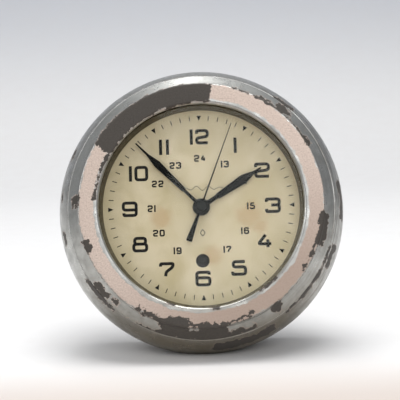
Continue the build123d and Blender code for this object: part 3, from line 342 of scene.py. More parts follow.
plainFinishes = {
    "brassTurned": {
        "clean": rgb(205, 172, 108),
        "dull": rgb(140, 104, 58),
        "size": 0.25,
        "amount": 0.6,
        "rough": (0.22, 0.42),
        "metal": 1.0,
        "bump": 0.25,
    },
    "steelTurned": {
        "clean": rgb(190, 190, 188),
        "dull": rgb(120, 116, 110),
        "size": 0.4,
        "amount": 0.5,
        "rough": (0.2, 0.4),
        "metal": 1.0,
        "bump": 0.2,
    },
    "darkSteel": {
        "clean": rgb(52, 50, 48),
        "dull": rgb(26, 24, 22),
        "size": 0.6,
        "amount": 0.7,
        "rough": (0.35, 0.55),
        "metal": 0.7,
        "bump": 0.3,
    },
    "blackRubber": {
        "clean": rgb(36, 35, 34),
        "dull": rgb(58, 55, 50),
        "size": 0.5,
        "amount": 0.5,
        "rough": (0.6, 0.85),
        "metal": 0.0,
        "bump": 0.4,
    },
    "rubyJewel": {
        "clean": rgb(150, 20, 44),
        "dull": rgb(96, 8, 26),
        "size": 1.2,
        "amount": 0.5,
        "rough": (0.06, 0.14),
        "metal": 0.0,
        "bump": 0.05,
    },
    "bluedSpring": {
        "clean": rgb(48, 66, 128),
        "dull": rgb(70, 58, 98),
        "size": 0.5,
        "amount": 0.6,
        "rough": (0.22, 0.36),
        "metal": 1.0,
        "bump": 0.1,
    },
    "handLacquer": {
        "clean": rgb(6, 6, 5),
        "dull": rgb(18, 16, 14),
        "size": 0.8,
        "amount": 0.5,
        "rough": (0.5, 0.7),
        "shine": 0.05,
        "metal": 0.0,
        "bump": 0.35,
    },
    "printInk": {
        "clean": rgb(12, 11, 10),
        "dull": rgb(38, 34, 27),
        "size": 0.9,
        "amount": 0.55,
        "rough": (0.55, 0.75),
        "shine": 0.2,
        "metal": 0.0,
        "bump": 0.2,
    },
    # painted reflection and shade: the olive colour stands in for the dial reflected in the sight ring,
    # darkened for the shade under the rim
    "sightReflectionShade": {
        "clean": rgb(92, 84, 62),
        "dull": rgb(60, 53, 38),
        "size": 0.35,
        "amount": 0.6,
        "rough": (0.3, 0.5),
        "metal": 0.6,
        "bump": 0.2,
    },
}
finishes = {name: grainMaterial(name, spec) for name, spec in plainFinishes.items()}
print("plain finishes:", len(finishes))

# plating, worn through to copper and to the brown moulding
platingColours = {
    "bare": rgb(70, 64, 57),
    "bareDark": rgb(50, 45, 40),
    "copper": rgb(216, 199, 187),
    "copperDull": rgb(180, 160, 147),
    # painted shade: copper darker towards the bottom
    "copperShaded": rgb(158, 138, 124),
    "silver": rgb(184, 184, 180),
    "silverDull": rgb(150, 150, 146),
    "streak": rgb(104, 99, 92),
    # painted reflection: brown for the floor's shadow mirrored in the underside
    "under": rgb(112, 102, 84),
    "grime": rgb(62, 54, 46),
}

# angles clockwise from the 12 in degrees, radii in millimetres: middle, half, inner, outer
bezelChips = [
    (333.5, 32.5, 64.0, 76.6),  # long bare stretch over the top left
    (288.0, 14.0, 64.6, 66.4),
    (45.0, 17.0, 75.4, 77.6),
    (42.0, 4.0, 76.5, 81.5),
    (20.5, 3.5, 74.8, 76.2),
    (103.0, 8.0, 73.2, 79.2),
    (118.0, 8.0, 73.6, 74.4),
    (145.5, 2.8, 76.0, 80.2),
    (157.0, 2.0, 71.4, 74.4),
    (184.0, 27.0, 73.4, 83.4),
    (192.5, 5.5, 70.4, 77.0),
    (211.0, 3.0, 72.6, 76.0),
    (222.0, 3.5, 77.8, 80.6),
    (231.0, 4.5, 78.2, 81.8),
    (251.5, 3.5, 72.4, 77.0),
    (273.5, 3.5, 75.2, 80.4),
    (142.0, 6.0, 61.0, 64.6),
    (174.5, 3.0, 61.0, 64.4),
    (198.5, 2.6, 61.0, 64.6),
]
bezelSilver = [
    (161.0, 9.0, 75.0, 79.6),  # plating left standing inside the bare band
    (211.0, 10.5, 76.6, 81.8),
    (185.0, 2.0, 75.6, 77.6),
]
# on the shells the last two are depths behind the bezel's face
caseChips = [
    (88.0, 8.0, 17.5, 25.5),
    (112.0, 5.0, 13.5, 20.0),
    (126.0, 17.0, 9.8, 12.4),
    (163.0, 14.0, 14.5, 24.0),
    (259.0, 2.6, 17.0, 23.0),
    (276.5, 1.8, 17.5, 24.0),
    (294.5, 2.6, 17.5, 22.5),
    (40.0, 5.0, 10.0, 13.6),
    (230.0, 9.0, 10.0, 13.6),
    (24.0, 2.0, 44.0, 48.0),
    (204.0, 3.0, 50.0, 56.0),
    (318.0, 2.5, 61.0, 65.0),
]


def nearest(tree, polar, chips, byDepth):
    total = None
    across = polar.outputs["Radius"]
    if byDepth:
        across = times(tree, polar.outputs["Depth"], -1.0)
    for middle, half, inner, outer in chips:
        patch = useGroup(
            tree,
            wornPatch,
            Angle=polar.outputs["Angle"],
            Radius=polar.outputs["Radius"],
            Across=across,
            Middle=middle,
            Half_Angle=half,
            Inner=inner,
            Outer=outer,
            Corner=min(2.5, (outer - inner) * 0.45),
        )
        found = patch.outputs[0]
        total = found if total is None else calc(tree, "MINIMUM", total, found)
    return total


# arcs of darkening: middle, full out to and gone by, in degrees clockwise from the 12; the underside arc
# is a painted reflection of the floor's shadow and the low arc is painted shade on the copper
darkeningArcs = {
    "streakArc": (95.0, 25.0, 75.0),
    "streakRadii": (70.0, 82.0),
    "underArc": (178.0, 18.0, 75.0),
    "underRadii": (78.0, 86.0),
    "copperShadeArc": (150.0, 15.0, 95.0),
}


def arcShare(tree, angle, arc, most, least):
    middle, full, gone = arc
    away = calc(tree, "ABSOLUTE", minus(tree, angle, middle))
    return remap(tree, away, full, gone, most, least, True)


def platingMaterial(name, chips, kept, spec):
    material, tree, shader = newMaterial(name)
    polar = useGroup(tree, clockPolar)
    place, angle, radius, depth = polar.outputs[:4]
    ragged = None
    for scale, reach in spec["ragged"]:  # broad, middling and fine wandering of the edges
        part = minus(tree, noise(tree, place, scale, 3.0, 0.6), 0.5)
        part = times(tree, part, reach)
        ragged = part if ragged is None else plus(tree, ragged, part)
    wear = plus(tree, nearest(tree, polar, chips, spec["byDepth"]), ragged)
    if kept:  # islands of plating inside the bare areas
        island = plus(tree, nearest(tree, polar, kept, spec["byDepth"]), ragged)
        island = minus(tree, 0.0, island)
        wear = calc(tree, "MAXIMUM", wear, island)
    # random chips, thickest along the edges named in the spec
    pits = remap(tree, noise(tree, place, 0.42, 6.0, 0.7), spec["pitLevel"], spec["pitLevel"] + 0.09)
    edges = None
    for edgeRadius, reach in spec["edges"]:
        away = calc(tree, "ABSOLUTE", minus(tree, radius, edgeRadius))
        close = remap(tree, away, 0.0, reach, 1.0, 0.0)
        edges = close if edges is None else calc(tree, "MAXIMUM", edges, close)
    speck = remap(tree, noise(tree, place, 1.5, 5.0, 0.7), 0.47, 0.62)
    edgeWear = times(tree, edges, speck)
    loose = calc(tree, "MAXIMUM", pits, times(tree, edgeWear, spec["edgeWear"]))
    wear = minus(tree, wear, times(tree, loose, 3.0))
    wear = calc(tree, "MINIMUM", wear, minus(tree, 1.6, times(tree, loose, 3.2)))
    bare = remap(tree, wear, -0.10, 0.10, 1.0, 0.0)
    # copper shows where the silver has rubbed away
    inner, outer = spec["copperBand"]
    middle = (inner + outer) / 2
    band = calc(tree, "ABSOLUTE", minus(tree, radius, middle))
    band = minus(tree, band, (outer - inner) / 2)
    band = plus(tree, band, times(tree, ragged, 0.45))
    rubbed = remap(tree, band, -0.25, 0.25, 1.0, 0.0)
    rim = remap(tree, wear, 0.15, 0.42, 1.0, 0.0)
    copper = calc(tree, "MAXIMUM", rubbed, times(tree, rim, 0.8))
    # colours of the three layers
    cloud = noise(tree, place, 0.12, 4.0, 0.6, 0.4)
    mottle = noise(tree, place, 1.1, 5.0, 0.7)
    fine = noise(tree, place, 5.0, 3.0, 0.6)
    silverShare = times(tree, remap(tree, cloud, 0.35, 0.68), 0.8)
    silver = blendColour(tree, silverShare, platingColours["silver"], platingColours["silverDull"])
    # darker streaks round the right flank, and a painted reflection of the floor's shadow that browns
    # the plating underneath
    spin = addNode(tree, "ShaderNodeCombineXYZ")
    feed(tree, spin.inputs[0], times(tree, angle, 0.05))
    feed(tree, spin.inputs[1], times(tree, radius, 0.9))
    feed(tree, spin.inputs[2], times(tree, depth, 0.35))
    streak = remap(tree, noise(tree, spin.outputs[0], 1.0, 4.0, 0.6, 0.2), 0.44, 0.62)
    rightSide = arcShare(tree, angle, darkeningArcs["streakArc"], 1.0, 0.25)
    rightSide = times(tree, rightSide, remap(tree, radius, *darkeningArcs["streakRadii"]))
    streak = times(tree, times(tree, streak, rightSide), spec["streaks"])
    silver = blendColour(tree, streak, silver, platingColours["streak"])
    under = arcShare(tree, angle, darkeningArcs["underArc"], 1.0, 0.0)
    under = times(tree, under, remap(tree, radius, *darkeningArcs["underRadii"], 0.25, 0.95))
    silver = blendColour(tree, under, silver, platingColours["under"])
    copperShare = remap(tree, mottle, 0.40, 0.72)
    copperTone = blendColour(tree, copperShare, platingColours["copper"], platingColours["copperDull"])
    bareShare = remap(tree, mottle, 0.35, 0.7)
    bareTone = blendColour(tree, bareShare, platingColours["bare"], platingColours["bareDark"])
    # painted shade: the copper darkens towards the lower right
    low = arcShare(tree, angle, darkeningArcs["copperShadeArc"], 0.75, 0.0)
    copperTone = blendColour(tree, low, copperTone, platingColours["copperShaded"])
    colour = blendColour(tree, copper, silver, copperTone)
    marks = useGroup(tree, scratches, Place=place, Scale=0.35, Share=spec["scratch"]).outputs[0]
    colour = blendColour(tree, times(tree, marks, 0.45), colour, platingColours["copperDull"])
    grimeSpots = remap(tree, noise(tree, place, 0.55, 6.0, 0.72), 0.60, 0.72)
    grime = times(tree, grimeSpots, spec["grime"])
    colour = blendColour(tree, grime, colour, platingColours["grime"])
    colour = blendColour(tree, bare, colour, bareTone)
    feed(tree, shader.inputs["Base Color"], colour)
    # plating is metal, the moulding is not
    # less metal where the painted reflection of the floor's shadow lies
    silverMetal = minus(tree, 0.92, times(tree, under, 0.3))
    metal = blendValue(tree, copper, silverMetal, 0.4)
    metal = times(tree, metal, minus(tree, 1.0, bare))
    feed(tree, shader.inputs["Metallic"], metal)
    silverRough = remap(tree, cloud, 0.3, 0.7, 0.24, 0.42)
    rough = blendValue(tree, copper, silverRough, 0.48)
    rough = blendValue(tree, bare, rough, 0.55)
    rough = plus(tree, rough, times(tree, minus(tree, fine, 0.5), 0.16))
    feed(tree, shader.inputs["Roughness"], rough)
    height = minus(tree, 1.0, bare)
    height = minus(tree, height, times(tree, copper, 0.15))
    height = plus(tree, height, times(tree, mottle, 0.12))
    height = plus(tree, height, times(tree, fine, 0.03))
    height = minus(tree, height, times(tree, marks, 0.2))
    feed(tree, shader.inputs["Normal"], bump(tree, height, 0.8, 0.10))
    return material


bezelPlating = {
    "copperBand": (66.4, 75.2),
    "byDepth": False,
    "ragged": ((0.10, 7.0), (0.35, 5.5), (1.3, 2.6)),
    "streaks": 0.25,
    "edges": ((75.7, 0.9), (65.0, 0.5), (82.7, 0.7)),
    "edgeWear": 0.8,
    "pitLevel": 0.70,
    "scratch": 0.55,
    "grime": 0.35,
}
casePlating = {
    "copperBand": (-20.0, -19.0),
    "byDepth": True,
    "ragged": ((0.10, 9.0), (0.35, 6.5), (1.3, 3.0)),
    "streaks": 0.8,
    "edges": ((83.3, 0.8), (89.8, 0.4)),
    "edgeWear": 0.75,
    "pitLevel": 0.68,
    "scratch": 0.6,
    "grime": 0.5,
}
finishes["bezelPlating"] = platingMaterial("bezelPlating", bezelChips, bezelSilver, bezelPlating)
finishes["casePlating"] = platingMaterial("casePlating", caseChips, None, casePlating)
print("plating made")

# dial paint
dialPaint = {
    "cream": rgb(228, 215, 181),
    "olive": rgb(208, 194, 152),
    # painted shade: darker tone near the dial's rim
    "edge": rgb(204, 190, 148),
    "stain": rgb(196, 160, 108),
    "scuff": rgb(120, 106, 78),
    "stains": ((30.0, -6.0, 10.0), (36.0, -13.0, 6.0), (-25.0, -6.0, 8.0), (6.0, -30.0, 7.0)),
}


def dialMaterial():
    material, tree, shader = newMaterial("agedDial")
    polar = useGroup(tree, clockPolar)
    place = polar.outputs["Place"]
    radius = polar.outputs["Radius"]
    cloud = noise(tree, place, 0.05, 4.0, 0.55, 0.5)
    fine = noise(tree, place, 1.6, 5.0, 0.65)
    tone = blendColour(tree, remap(tree, cloud, 0.35, 0.68), dialPaint["cream"], dialPaint["olive"])
    # painted shade: the dial darkens towards its rim, patchily
    rimShadeShare = remap(tree, radius, 52.0, 62.5, 0.0, 0.55, True)
    rimShadeShare = times(tree, rimShadeShare, remap(tree, cloud, 0.2, 0.6, 0.5, 1.0))
    tone = blendColour(tree, rimShadeShare, tone, dialPaint["edge"])
    total = None
    for across, up, size in dialPaint["stains"]:
        gap = addNode(tree, "ShaderNodeVectorMath", operation="DISTANCE")
        feed(tree, gap.inputs[0], place)
        gap.inputs[1].default_value = (across, up, dialFace)
        ragged = times(tree, minus(tree, noise(tree, place, 0.14, 4.0), 0.5), size)
        away = plus(tree, gap.outputs["Value"], ragged)
        share = remap(tree, away, size * 0.35, size * 1.15, 1.0, 0.0, True)
        total = share if total is None else calc(tree, "MAXIMUM", total, share)
    tone = blendColour(tree, times(tree, total, 0.5), tone, dialPaint["stain"])
    spots = remap(tree, noise(tree, place, 0.7, 6.0, 0.75), 0.64, 0.74)
    tone = blendColour(tree, times(tree, spots, 0.5), tone, dialPaint["scuff"])
    marks = useGroup(tree, scratches, Place=place, Scale=0.3, Share=0.1).outputs[0]
    tone = blendColour(tree, times(tree, marks, 0.25), tone, dialPaint["scuff"])
    feed(tree, shader.inputs["Base Color"], tone)
    feed(tree, shader.inputs["Roughness"], remap(tree, fine, 0.3, 0.7, 0.42, 0.62))
    feed(tree, shader.inputs["Normal"], bump(tree, fine, 0.25, 0.04))
    return material


finishes["agedDial"] = dialMaterial()


def crystalMaterial():
    # thin clear glass: mirror-like only by its own Fresnel share, with faint smears
    material, tree, shader = newMaterial("clearCrystal")
    polar = useGroup(tree, clockPolar)
    smear = noise(tree, polar.outputs["Place"], 0.08, 4.0, 0.6, 0.8)
    shine = addNode(tree, "ShaderNodeFresnel")
    shine.inputs["IOR"].default_value = 1.5
    alpha = times(tree, shine.outputs[0], 0.3)
    alpha = plus(tree, alpha, remap(tree, smear, 0.5, 0.8, 0.0, 0.006))
    feed(tree, shader.inputs["Alpha"], alpha)
    feed(tree, shader.inputs["Roughness"], remap(tree, smear, 0.4, 0.8, 0.02, 0.06))
    shader.inputs["Base Color"].default_value = (0.6, 0.62, 0.6, 1)
    shader.inputs["Metallic"].default_value = 1.0
    material.surface_render_method = "BLENDED"
    return material


finishes["clearCrystal"] = crystalMaterial()

# finishes of the CAD pieces
slotFinish = {
    "plated_bezel": "bezelPlating",
    "plated_case": "casePlating",
    "rubber": "blackRubber",
    "steel": "steelTurned",
    "dark_steel": "darkSteel",
    "brass": "brassTurned",
    "sight_metal": "sightReflectionShade",
    "glass": "clearCrystal",
    "dial_paint": "agedDial",
    "hand_black": "handLacquer",
    "ruby": "rubyJewel",
    "blued_spring": "bluedSpring",
}
slotOf = {part["node"]: part["material_slot"] for part in frame["record"]["subparts"]}
# painted shade: steel parts seen through the winding hole take the dark steel finish
shadedInHole = {"barrel_arbor": "darkSteel", "ratchet_wheel": "darkSteel"}  # seen through the winding hole
for nodeName, node in nodes.items():
    node.data.materials.clear()
    node.data.materials.append(finishes[shadedInHole.get(nodeName, slotFinish[slotOf[nodeName]])])
print("CAD pieces finished:", len(slotOf))


# mesh helpers
def addObject(name, data):
    made = bpy.data.objects.new(name, data)
    bpy.context.scene.collection.objects.link(made)
    return made


def meshFrom(bm, name):
    mesh = bpy.data.meshes.new(name)
    bm.to_mesh(mesh)
    bm.free()
    return mesh


def placeMesh(mesh, name, finish, body, stands=()):
    mesh.transform(clockPlace)
    mesh.update()
    piece = addObject(name, mesh)
    mesh.materials.clear()
    mesh.materials.append(finishes[finish])
    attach(piece, body)
    if stands:
        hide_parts(*stands)
    return piece


def closeMesh(bm, name, sharpest=32):
    bmesh.ops.remove_doubles(bm, verts=bm.verts, dist=1e-4)
    bmesh.ops.recalc_face_normals(bm, faces=bm.faces)
    mesh = meshFrom(bm, name)
    mesh.shade_smooth()
    mesh.set_sharp_from_angle(angle=math.radians(sharpest))
    return mesh


def arcPoints(centre, radius, start, sweep, steps):
    points = []
    for step in range(steps + 1):
        turn = math.radians(start + sweep * step / steps)
        points.append((centre[0] + radius * math.cos(turn), centre[1] + radius * math.sin(turn)))
    return points


def lathe(profile, segments, closed=True):
    # spins a profile of radius and depth about the hands' axis
    bm = bmesh.new()
    rings = []
    for radius, depth in profile:
        if radius < 1e-6:
            rings.append([bm.verts.new((0, 0, depth))] * segments)
            continue
        ring = []
        for step in range(segments):
            turn = 2 * math.pi * step / segments
            ring.append(bm.verts.new((radius * math.cos(turn), radius * math.sin(turn), depth)))
        rings.append(ring)
    count = len(rings)
    for index in range(count if closed else count - 1):
        here = rings[index]
        there = rings[(index + 1) % count]
        for step in range(segments):
            following = (step + 1) % segments
            corners = [here[step], here[following], there[following], there[step]]
            unique = list(dict.fromkeys(corners))
            if len(unique) > 2:
                bm.faces.new(unique)
    return bm


# bezel
bezelShape = {
    "lipRadius": 63.24,
    "lipRound": 1.9,
    "lipDepth": 2.7,
    "faceOuter": 75.04,
    "edgeRound": 1.2,
    "edgeDrop": 2.6,
    "cove": 1.6,
    "creaseRound": 0.5,
    "creaseDepth": 10.0,
    "web": 4.6,
    "bore": 66.14,
    "skirt": 69.54,
    "thread": 75.84,
    "segments": 288,
}


def bezelProfile(size):
    inner = size["lipRadius"] + size["lipRound"]
    edge = size["faceOuter"] + size["edgeRound"]
    cove = (edge + size["cove"], -size["edgeDrop"])
    crease = -size["creaseDepth"]
    profile = arcPoints((inner, -size["lipRound"]), size["lipRound"], 180, -90, 8)
    profile += [(inner + (size["faceOuter"] - inner) * k / 4, 0.0) for k in (1, 2, 3)]
    profile += arcPoints((size["faceOuter"], -size["edgeRound"]), size["edgeRound"], 90, -90, 8)
    profile += arcPoints(cove, size["cove"], 180, 45, 5)
    start = profile[-1]
    end = (bezelOut - size["creaseRound"] / 2, size["creaseRound"] / 2 + crease)
    for share in (0.33, 0.66):
        profile.append(tuple(a + (b - a) * share for a, b in zip(start, end)))
    profile += [
        end,
        (bezelOut - size["creaseRound"], crease),
        (size["thread"], crease),
        (size["thread"], -size["web"]),
        (size["skirt"], -size["web"]),
        (size["skirt"], bezelBack),
        (size["bore"], bezelBack),
        (size["bore"], -size["lipDepth"]),
        (size["lipRadius"], -size["lipDepth"]),
    ]
    return profile


bezelMesh = closeMesh(lathe(bezelProfile(bezelShape), bezelShape["segments"]), "bezelRing", 40)
placeMesh(bezelMesh, "bezel_ring", "bezelPlating", "bezel", ["bezel"])
print("bezel turned")


def smoothCopy(node, name, finish, sharpest=30):
    # same shape as the CAD piece, merged and shaded smooth, its flat faces kept flat
    bm = bmesh.new()
    bm.from_mesh(nodes[node].data)
    bmesh.ops.remove_doubles(bm, verts=bm.verts, dist=1e-6)
    bm.normal_update()
    for edge in bm.edges:
        flats = [abs(face.normal.dot(frontAxis)) > 0.9999 for face in edge.link_faces]
        edge.smooth = len(flats) == 2 and flats[0] == flats[1] and (
            edge.calc_face_angle(0.0) < math.radians(sharpest)
        )
    mesh = meshFrom(bm, name)
    for face in mesh.polygons:
        face.use_smooth = True
    piece = addObject(name, mesh)
    mesh.materials.clear()
    mesh.materials.append(finishes[finish])
    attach(piece, nodes[node]["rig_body"])
    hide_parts(node)
    return piece


smoothCopy("front_shell", "case_front", "casePlating")
smoothCopy("rear_shell", "case_rear", "casePlating")
smoothCopy("sight_ring", "sight_cone", "sightReflectionShade")
print("shells smoothed")

# hands
handShapes = {
    "hour_hand": {
        "angle": 57.9,
        "outline": (
            (0, 1.45), (12, 1.85), (24, 2.5), (31.3, 2.95),
            (34, 2.35), (39.4, 0.8), (44.8, 0.42),
        ),
        "boss": 5.4,
        "body": "hour",
    },
    "minute_hand": {
        "angle": 315.8,
        "outline": (
            (0, 1.1), (15, 1.45), (30, 1.95), (38.3, 2.25),
            (41, 1.8), (46.4, 0.75), (57.2, 0.38),
        ),
        "boss": 4.7,
        "body": "minute",
    },
}
handEdge = 0.12  # width of the softened edge
leastHalf = 0.12  # a blade is never narrower than twice this
bossSteps = 40


def handOutline(spec, shrink):
    # a pointed blade joined to a round boss, clockwise from 12
    boss = spec["boss"] - shrink
    outline = spec["outline"]
    root = outline[0][1] - shrink
    join = math.asin(min(1.0, root / boss))
    right = []
    for reach, half in outline:
        if reach == outline[-1][0]:
            reach -= shrink
        if reach > boss:
            right.append((max(half - shrink, leastHalf), reach))
    left = [(-half, reach) for half, reach in reversed(right)]
    points = []
    for step in range(bossSteps + 1):
        turn = join + (2 * math.pi - 2 * join) * step / bossSteps
        points.append((boss * math.sin(turn), boss * math.cos(turn)))
    return points + left + right


def handMesh(name, spec):
    low, high = depthRange(name)
    levels = ((low, handEdge), (low + handEdge, 0.0), (high - handEdge, 0.0), (high, handEdge))
    bm = bmesh.new()
    rings = []
    for depth, shrink in levels:
        rings.append([bm.verts.new((x, y, depth)) for x, y in handOutline(spec, shrink)])
    for here, there in zip(rings, rings[1:]):
        for step in range(len(here)):
            following = (step + 1) % len(here)
            bm.faces.new((here[step], here[following], there[following], there[step]))
    bm.faces.new(rings[0])
    bm.faces.new(rings[-1])
    bmesh.ops.triangulate(bm, faces=[f for f in bm.faces if len(f.verts) > 4])
    mesh = closeMesh(bm, name, 50)
    mesh.transform(Matrix.Rotation(-math.radians(spec["angle"]), 4, "Z"))
    return mesh


for handName, handSpec in handShapes.items():
    placeMesh(
        handMesh(handName, handSpec),
        handName + "_blade",
        "handLacquer",
        handSpec["body"],
        [handName],
    )

secondsShape = {
    "angle": 21.1,
    "reach": 55.7,
    "tail": 23.1,
    "root": 0.5,
    "tip": 0.2,
    "tailHalf": 1.9,
    "boss": 4.0,
    "steps": 12,
}
capShape = {"rim": 4.0, "step": 0.35, "stepRadius": 3.1, "steps": 9, "segments": 64}


def secondsMesh(size):
    low, high = depthRange("seconds_hand")
    bm = bmesh.new()
    outline = []
    join = math.asin(size["root"] / size["boss"])
    for step in range(size["steps"] + 1):
        turn = join + (math.pi - 2.6 * join) * step / size["steps"]
        outline.append((size["boss"] * math.sin(turn), size["boss"] * math.cos(turn)))
    for share, drop in ((1.0, 0.5), (0.75, 0.0)):
        outline.append((size["tailHalf"] * share, -size["tail"] + drop))
    outline += [(-x, y) for x, y in reversed(outline)]
    outline += [(-size["tip"], size["reach"]), (size["tip"], size["reach"])]
    rings = [[bm.verts.new((x, y, depth)) for x, y in outline] for depth in (low, high)]
    for step in range(len(outline)):
        following = (step + 1) % len(outline)
        bm.faces.new((rings[0][step], rings[0][following], rings[1][following], rings[1][step]))
    bm.faces.new(rings[0])
    bm.faces.new(rings[1])
    bmesh.ops.triangulate(bm, faces=[f for f in bm.faces if len(f.verts) > 4])
    mesh = closeMesh(bm, "secondsHand", 50)
    mesh.transform(Matrix.Rotation(-math.radians(size["angle"]), 4, "Z"))
    return mesh


placeMesh(
    secondsMesh(secondsShape), "seconds_blade", "handLacquer", "seconds", ["seconds_hand"]
)
capLow, capHigh = depthRange("seconds_cap")
domeLow = capLow + capShape["step"]
capProfile = [(0, capLow), (capShape["rim"], capLow), (capShape["rim"], domeLow)]
for capStep in range(capShape["steps"] + 1):
    capTurn = math.pi / 2 * capStep / capShape["steps"]
    capRadius = capShape["stepRadius"] * math.cos(capTurn)
    capProfile.append((max(capRadius, 0.0), domeLow + (capHigh - domeLow) * math.sin(capTurn)))
capMesh = closeMesh(lathe(capProfile, capShape["segments"], closed=False), "handCap", 35)
placeMesh(capMesh, "seconds_cap_dome", "handLacquer", "seconds", ["seconds_cap"])
print("hands made")

# dial print: ticks and triangles with Geometry Nodes
printLift = 0.03  # print's thickness over the paint
markShapes = {
    "minute_ticks": {"count": 60, "radius": 56.3, "length": 3.0, "width": 0.5, "skip": 5, "sides": 4},
    "hour_triangles": {"count": 12, "radius": 56.8, "length": 3.3, "width": 2.8, "skip": 1, "sides": 3},
}


def markTree(name, sides):
    tree = bpy.data.node_groups.new(name, "GeometryNodeTree")
    for label, kind in (
        ("Count", "Int"),
        ("Radius", "Float"),
        ("Length", "Float"),
        ("Width", "Float"),
        ("Thickness", "Float"),
        ("Skip", "Int"),
        ("Finish", "Material"),
    ):
        tree.interface.new_socket(label, in_out="INPUT", socket_type="NodeSocket" + kind)
    tree.interface.new_socket("Geometry", in_out="OUTPUT", socket_type="NodeSocketGeometry")
    into = tree.nodes.new("NodeGroupInput")
    out = tree.nodes.new("NodeGroupOutput")
    link = tree.links.new
    ring = tree.nodes.new("GeometryNodeMeshCircle")
    link(into.outputs["Count"], ring.inputs["Vertices"])
    link(into.outputs["Radius"], ring.inputs["Radius"])
    if sides == 3:
        mark = tree.nodes.new("GeometryNodeMeshCylinder")
        mark.inputs["Vertices"].default_value = 3
        mark.inputs["Radius"].default_value = 1.0
        link(into.outputs["Thickness"], mark.inputs["Depth"])
        size = tree.nodes.new("ShaderNodeCombineXYZ")
        for side, span in (("Length", 1.5), ("Width", math.sqrt(3))):  # spans of a unit triangle
            share = addNode(tree, "ShaderNodeMath", operation="DIVIDE")
            link(into.outputs[side], share.inputs[0])
            share.inputs[1].default_value = span
            link(share.outputs[0], size.inputs[0 if side == "Length" else 1])
        size.inputs[2].default_value = 1.0
        squash = tree.nodes.new("GeometryNodeTransform")
        link(mark.outputs["Mesh"], squash.inputs["Geometry"])
        link(size.outputs[0], squash.inputs["Scale"])
        shape = squash.outputs[0]
    else:
        mark = tree.nodes.new("GeometryNodeMeshCube")
        size = tree.nodes.new("ShaderNodeCombineXYZ")
        link(into.outputs["Length"], size.inputs[0])
        link(into.outputs["Width"], size.inputs[1])
        link(into.outputs["Thickness"], size.inputs[2])
        link(size.outputs[0], mark.inputs["Size"])
        shape = mark.outputs["Mesh"]
    index = tree.nodes.new("GeometryNodeInputIndex")
    share = addNode(tree, "ShaderNodeMath", operation="DIVIDE")
    link(index.outputs[0], share.inputs[0])
    link(into.outputs["Count"], share.inputs[1])
    turn = addNode(tree, "ShaderNodeMath", operation="MULTIPLY_ADD")
    link(share.outputs[0], turn.inputs[0])
    turn.inputs[1].default_value = 2 * math.pi
    turn.inputs[2].default_value = math.pi if sides == 3 else 0.0
    spin = tree.nodes.new("ShaderNodeCombineXYZ")
    link(turn.outputs[0], spin.inputs[2])
    place = tree.nodes.new("GeometryNodeInstanceOnPoints")
    link(ring.outputs["Mesh"], place.inputs["Points"])
    link(shape, place.inputs["Instance"])
    link(spin.outputs[0], place.inputs["Rotation"])
    if sides != 3:  # the hour marks take the place of every fifth tick
        rest = addNode(tree, "ShaderNodeMath", operation="MODULO")
        link(index.outputs[0], rest.inputs[0])
        link(into.outputs["Skip"], rest.inputs[1])
        keep = addNode(tree, "ShaderNodeMath", operation="GREATER_THAN")
        link(rest.outputs[0], keep.inputs[0])
        keep.inputs[1].default_value = 0.5
        link(keep.outputs[0], place.inputs["Selection"])
    real = tree.nodes.new("GeometryNodeRealizeInstances")
    link(place.outputs[0], real.inputs[0])
    finish = tree.nodes.new("GeometryNodeSetMaterial")
    link(real.outputs[0], finish.inputs["Geometry"])
    link(into.outputs["Finish"], finish.inputs["Material"])
    link(finish.outputs[0], out.inputs[0])
    return tree


def growMesh(tree, values):
    # runs a Geometry Nodes tree and keeps the result as a plain mesh
    carrier = addObject("carrier", bpy.data.meshes.new("carrier"))
    modifier = carrier.modifiers.new("grow", "NODES")
    modifier.node_group = tree
    for item in tree.interface.items_tree:
        if item.item_type == "SOCKET" and item.in_out == "INPUT" and item.name in values:
            modifier[item.identifier] = values[item.name]
    bpy.context.view_layer.update()
    grown = carrier.evaluated_get(bpy.context.evaluated_depsgraph_get())
    mesh = bpy.data.meshes.new_from_object(grown)
    carrier.modifiers.remove(modifier)
    bpy.data.objects.remove(carrier)
    return mesh


for markName, markSpec in markShapes.items():
    markMesh = growMesh(
        markTree(markName, markSpec["sides"]),
        {
            "Count": markSpec["count"],
            "Radius": markSpec["radius"],
            "Length": markSpec["length"],
            "Width": markSpec["width"],
            "Thickness": printLift * 2,
            "Skip": markSpec["skip"],
            "Finish": finishes["printInk"],
        },
    )
    markMesh.transform(Matrix.Translation((0, 0, dialFace)))
    placeMesh(markMesh, "dial_" + markName, "printInk", "case")

